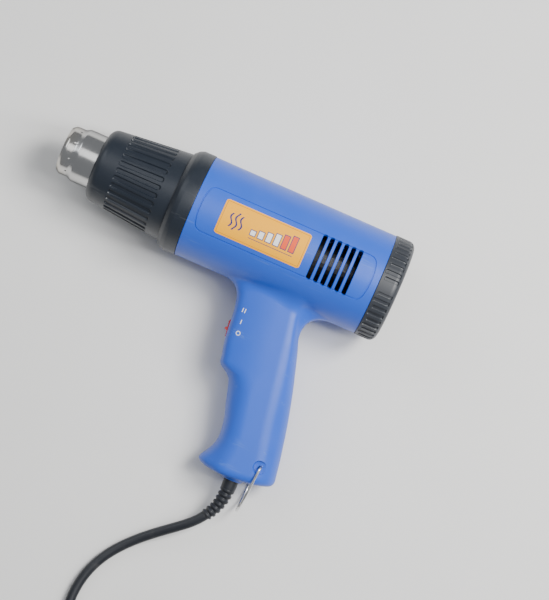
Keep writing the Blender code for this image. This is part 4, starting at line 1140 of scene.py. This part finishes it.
def cord_points():
    """The free run from the strain relief to the coil, then the coil, in metres in the row frame."""
    end, before = (GUN @ (Vector((*p, 0)) * MM) for p in (RELIEF_PATH[-1], RELIEF_PATH[-2]))
    ahead = (end - before).normalized()
    path = smooth_path([end / MM - ahead * 1.5, end / MM + ahead * 6.3, *CORD_FLOOR_ROUTE], 4.0)
    for _ in range(8):
        path = [path[0], *[(a + 2 * b + c) / 4 for a, b, c in zip(path, path[1:], path[2:])], path[-1]]
    return [Vector(p) * MM for p in [*path, *coil_points()]]


def free_cord(paint):
    points = cord_points()
    curve = wire_curve("cord", points, CORD_RADIUS * MM, 6)
    cord = place("cord_lead", curve, paint, "gun", "cord", "cord_coil", "cord_end", in_gun=False,
                 slot="rubber")
    on_it = [*plug(paint), coil_tie()]


# Half width and half height of the plug's body at distances from its middle
PLUG_BODY = np.array([(-23, 3.9, 3.9), (-22.4, 4.5, 4.3), (-16, 5.3, 4.7), (-10, 6.2, 5.4), (-6, 8.0, 6.5),
                      (4, 9.5, 7.1), (7.2, 9.5, 7.1), (8, 8.7, 6.3)])
PLUG_BLADES = ((-6.35, 3.85), (6.35, 3.15))  # y from the plug's middle, half height
BLADE_THICK = 0.72


def plug(paint):
    """A moulded two-pin plug: a ribbed neck, a waisted body with finger ridges, and two flat blades."""
    middle = np.array((*COIL_CENTRE, 0.0)) + PLUG_PLACE
    rings = []
    for x in [*np.arange(-23.0, 7.9, 0.25), 8.0]:
        wide, tall = (np.interp(x, PLUG_BODY[:, 0], PLUG_BODY[:, k]) for k in (1, 2))
        neck = 0.55 * smoothstep(0.55, 0.2, abs((x + 21.6) % 2.4 - 1.2)) * (x < -12)
        ridge = 0.35 * smoothstep(0.6, 0.25, abs((x + 5.0) % 2.0 - 1.0)) * (-5 < x < 3)
        ring = []
        for c, s in [(math.cos(a), math.sin(a)) for a in around(64)]:
            square = (abs(c) ** 4 + abs(s) ** 4) ** -0.25
            side = ridge * smoothstep(0.55, 0.8, abs(c))
            ring.append(middle + (x, (wide - neck - side) * c * square, (tall - neck) * s * square))
        rings.append(ring)
    pieces = [place("plug_moulding", loft("plug", rings, sharp=45), paint, "gun", "plug_body", in_gun=False,
                    slot="rubber")]
    brass = metal("plug_brass", (0.74, 0.56, 0.27), 0.24)
    for i, (y, half) in enumerate(PLUG_BLADES, 1):
        rings = []
        for dx, thick, tall in ((6.5, BLADE_THICK, half), (22.6, BLADE_THICK, half), (24.6, 0.66, half - 0.7),
                                (25.4, 0.30, half - 1.5)):
            outline = soften(rectangle(-thick, thick, -tall, tall), 0.22, 3)
            rings.append([middle + (dx, y + u, v) for u, v in outline])
        hole = [[middle + (20.6 + 1.4 * math.cos(a), y + side, 1.4 * math.sin(a)) for a in around(24)]
                for side in (-2, 2)]
        blade = cut(loft("blade", rings), [loft("hole", hole)])
        pieces.append(place(f"plug_blade_{i}_brass", shaded(blade, 30), brass, "gun", f"plug_blade_{i}",
                            in_gun=False, slot="brass"))
    return pieces


TIE_HALF, TIE_THICK = 3.4, 0.75
TIE_HEIGHTS = (0.9, 16.1)


def coil_tie():
    """A soft strap round the turns."""
    high, low = COIL_LANES[0][0] + CORD_RADIUS + 0.5, COIL_LANES[2][0] - CORD_RADIUS - 0.5
    path = closed_path(soften(rectangle(low, high, *TIE_HEIGHTS), 3.5, 8), 0.8)
    section = soften([(0, -TIE_HALF), (-TIE_THICK, -TIE_HALF), (-TIE_THICK, TIE_HALF), (0, TIE_HALF)], 0.3, 3)
    rings = [[(COIL_CENTRE[0] + out, COIL_CENTRE[1] + along, height) for out, height, along in ring]
             for ring in swept(path, section)]
    paint = Paint("woven_strap", (0.55, 0.55, 0.53), 0.75)
    weave = paint.noise(1.0, 2.0, stretch=(2500.0, 500.0, 2500.0))
    paint.tone(weave, 0.2).raised(weave, 0.1, 0.7)
    return place("coil_tie_strap", loft("tie", rings, closed=True), paint.done(), "gun", "coil_tie",
                 in_gun=False, slot="tie")


# ---------------- carried-over CAD nodes

def paint_frame():
    """Each CAD node that still shows gets the finish of its slot."""
    slots = {row["node"]: row["material_slot"] for row in frame["record"]["subparts"]}
    paints = {
        "black_plastic": black_plastic("inner_black_plastic", (0.03, 0.03, 0.032), 0.5),
        "nozzle_steel": metal("plated_steel", (0.62, 0.62, 0.60), 0.3),
        "screw_steel": metal("zinc_steel", (0.55, 0.55, 0.54), 0.35),
        "mica": mica(),
        "nichrome": heater_wire(),
        "brass": metal("brass_terminal", (0.72, 0.50, 0.20), 0.3),
        "ferrite": plain("ferrite", (0.05, 0.05, 0.055), 0.6),
        "board": circuit_board(),
        "rubber": rubber("moulded_rubber"),
        "tie": plain("tie_strap", (0.62, 0.62, 0.60), 0.5),
        "lead_live": plain("lead_black", (0.02, 0.02, 0.02), 0.45),
        "lead_neutral": plain("lead_white", (0.7, 0.7, 0.68), 0.45),
        "lead_low": plain("lead_red", (0.5, 0.04, 0.03), 0.45),
        "lead_high": plain("lead_blue", (0.05, 0.12, 0.45), 0.45),
    }
    # Painted shade: the motor can is painted near black, in place of its slot's finish, so that the vent
    # slots read as the dark shade inside the housing.
    vent_shade_steel = metal("motor_can_vent_shade", (0.10, 0.10, 0.105), 0.5)
    for name, obj in frame["nodes"].items():
        paint = vent_shade_steel if name == "motor_can" else paints.get(slots[name])
        if paint is not None:
            obj.data.materials.clear()
            obj.data.materials.append(paint)


camera()
cord_rubber = rubber()
free_cord(cord_rubber)
paint_frame()
housing()
label_print = label_paint()
label("label_left", 1, label_print)
label("label_right", -1, label_print)
guard_plastic = black_plastic("guard_black_plastic", BLACK, 0.38)
front_guard(guard_plastic)
front_collar(guard_plastic)
rear_cap(black_plastic("cap_grey_plastic", CAP_GREY, 0.42))
nozzle(bright_steel())
screws(metal("screw_zinc", (0.60, 0.60, 0.58), 0.3))
switch_slider()
hanging_bail(bright_wire())
strain_relief(cord_rubber)
studio()
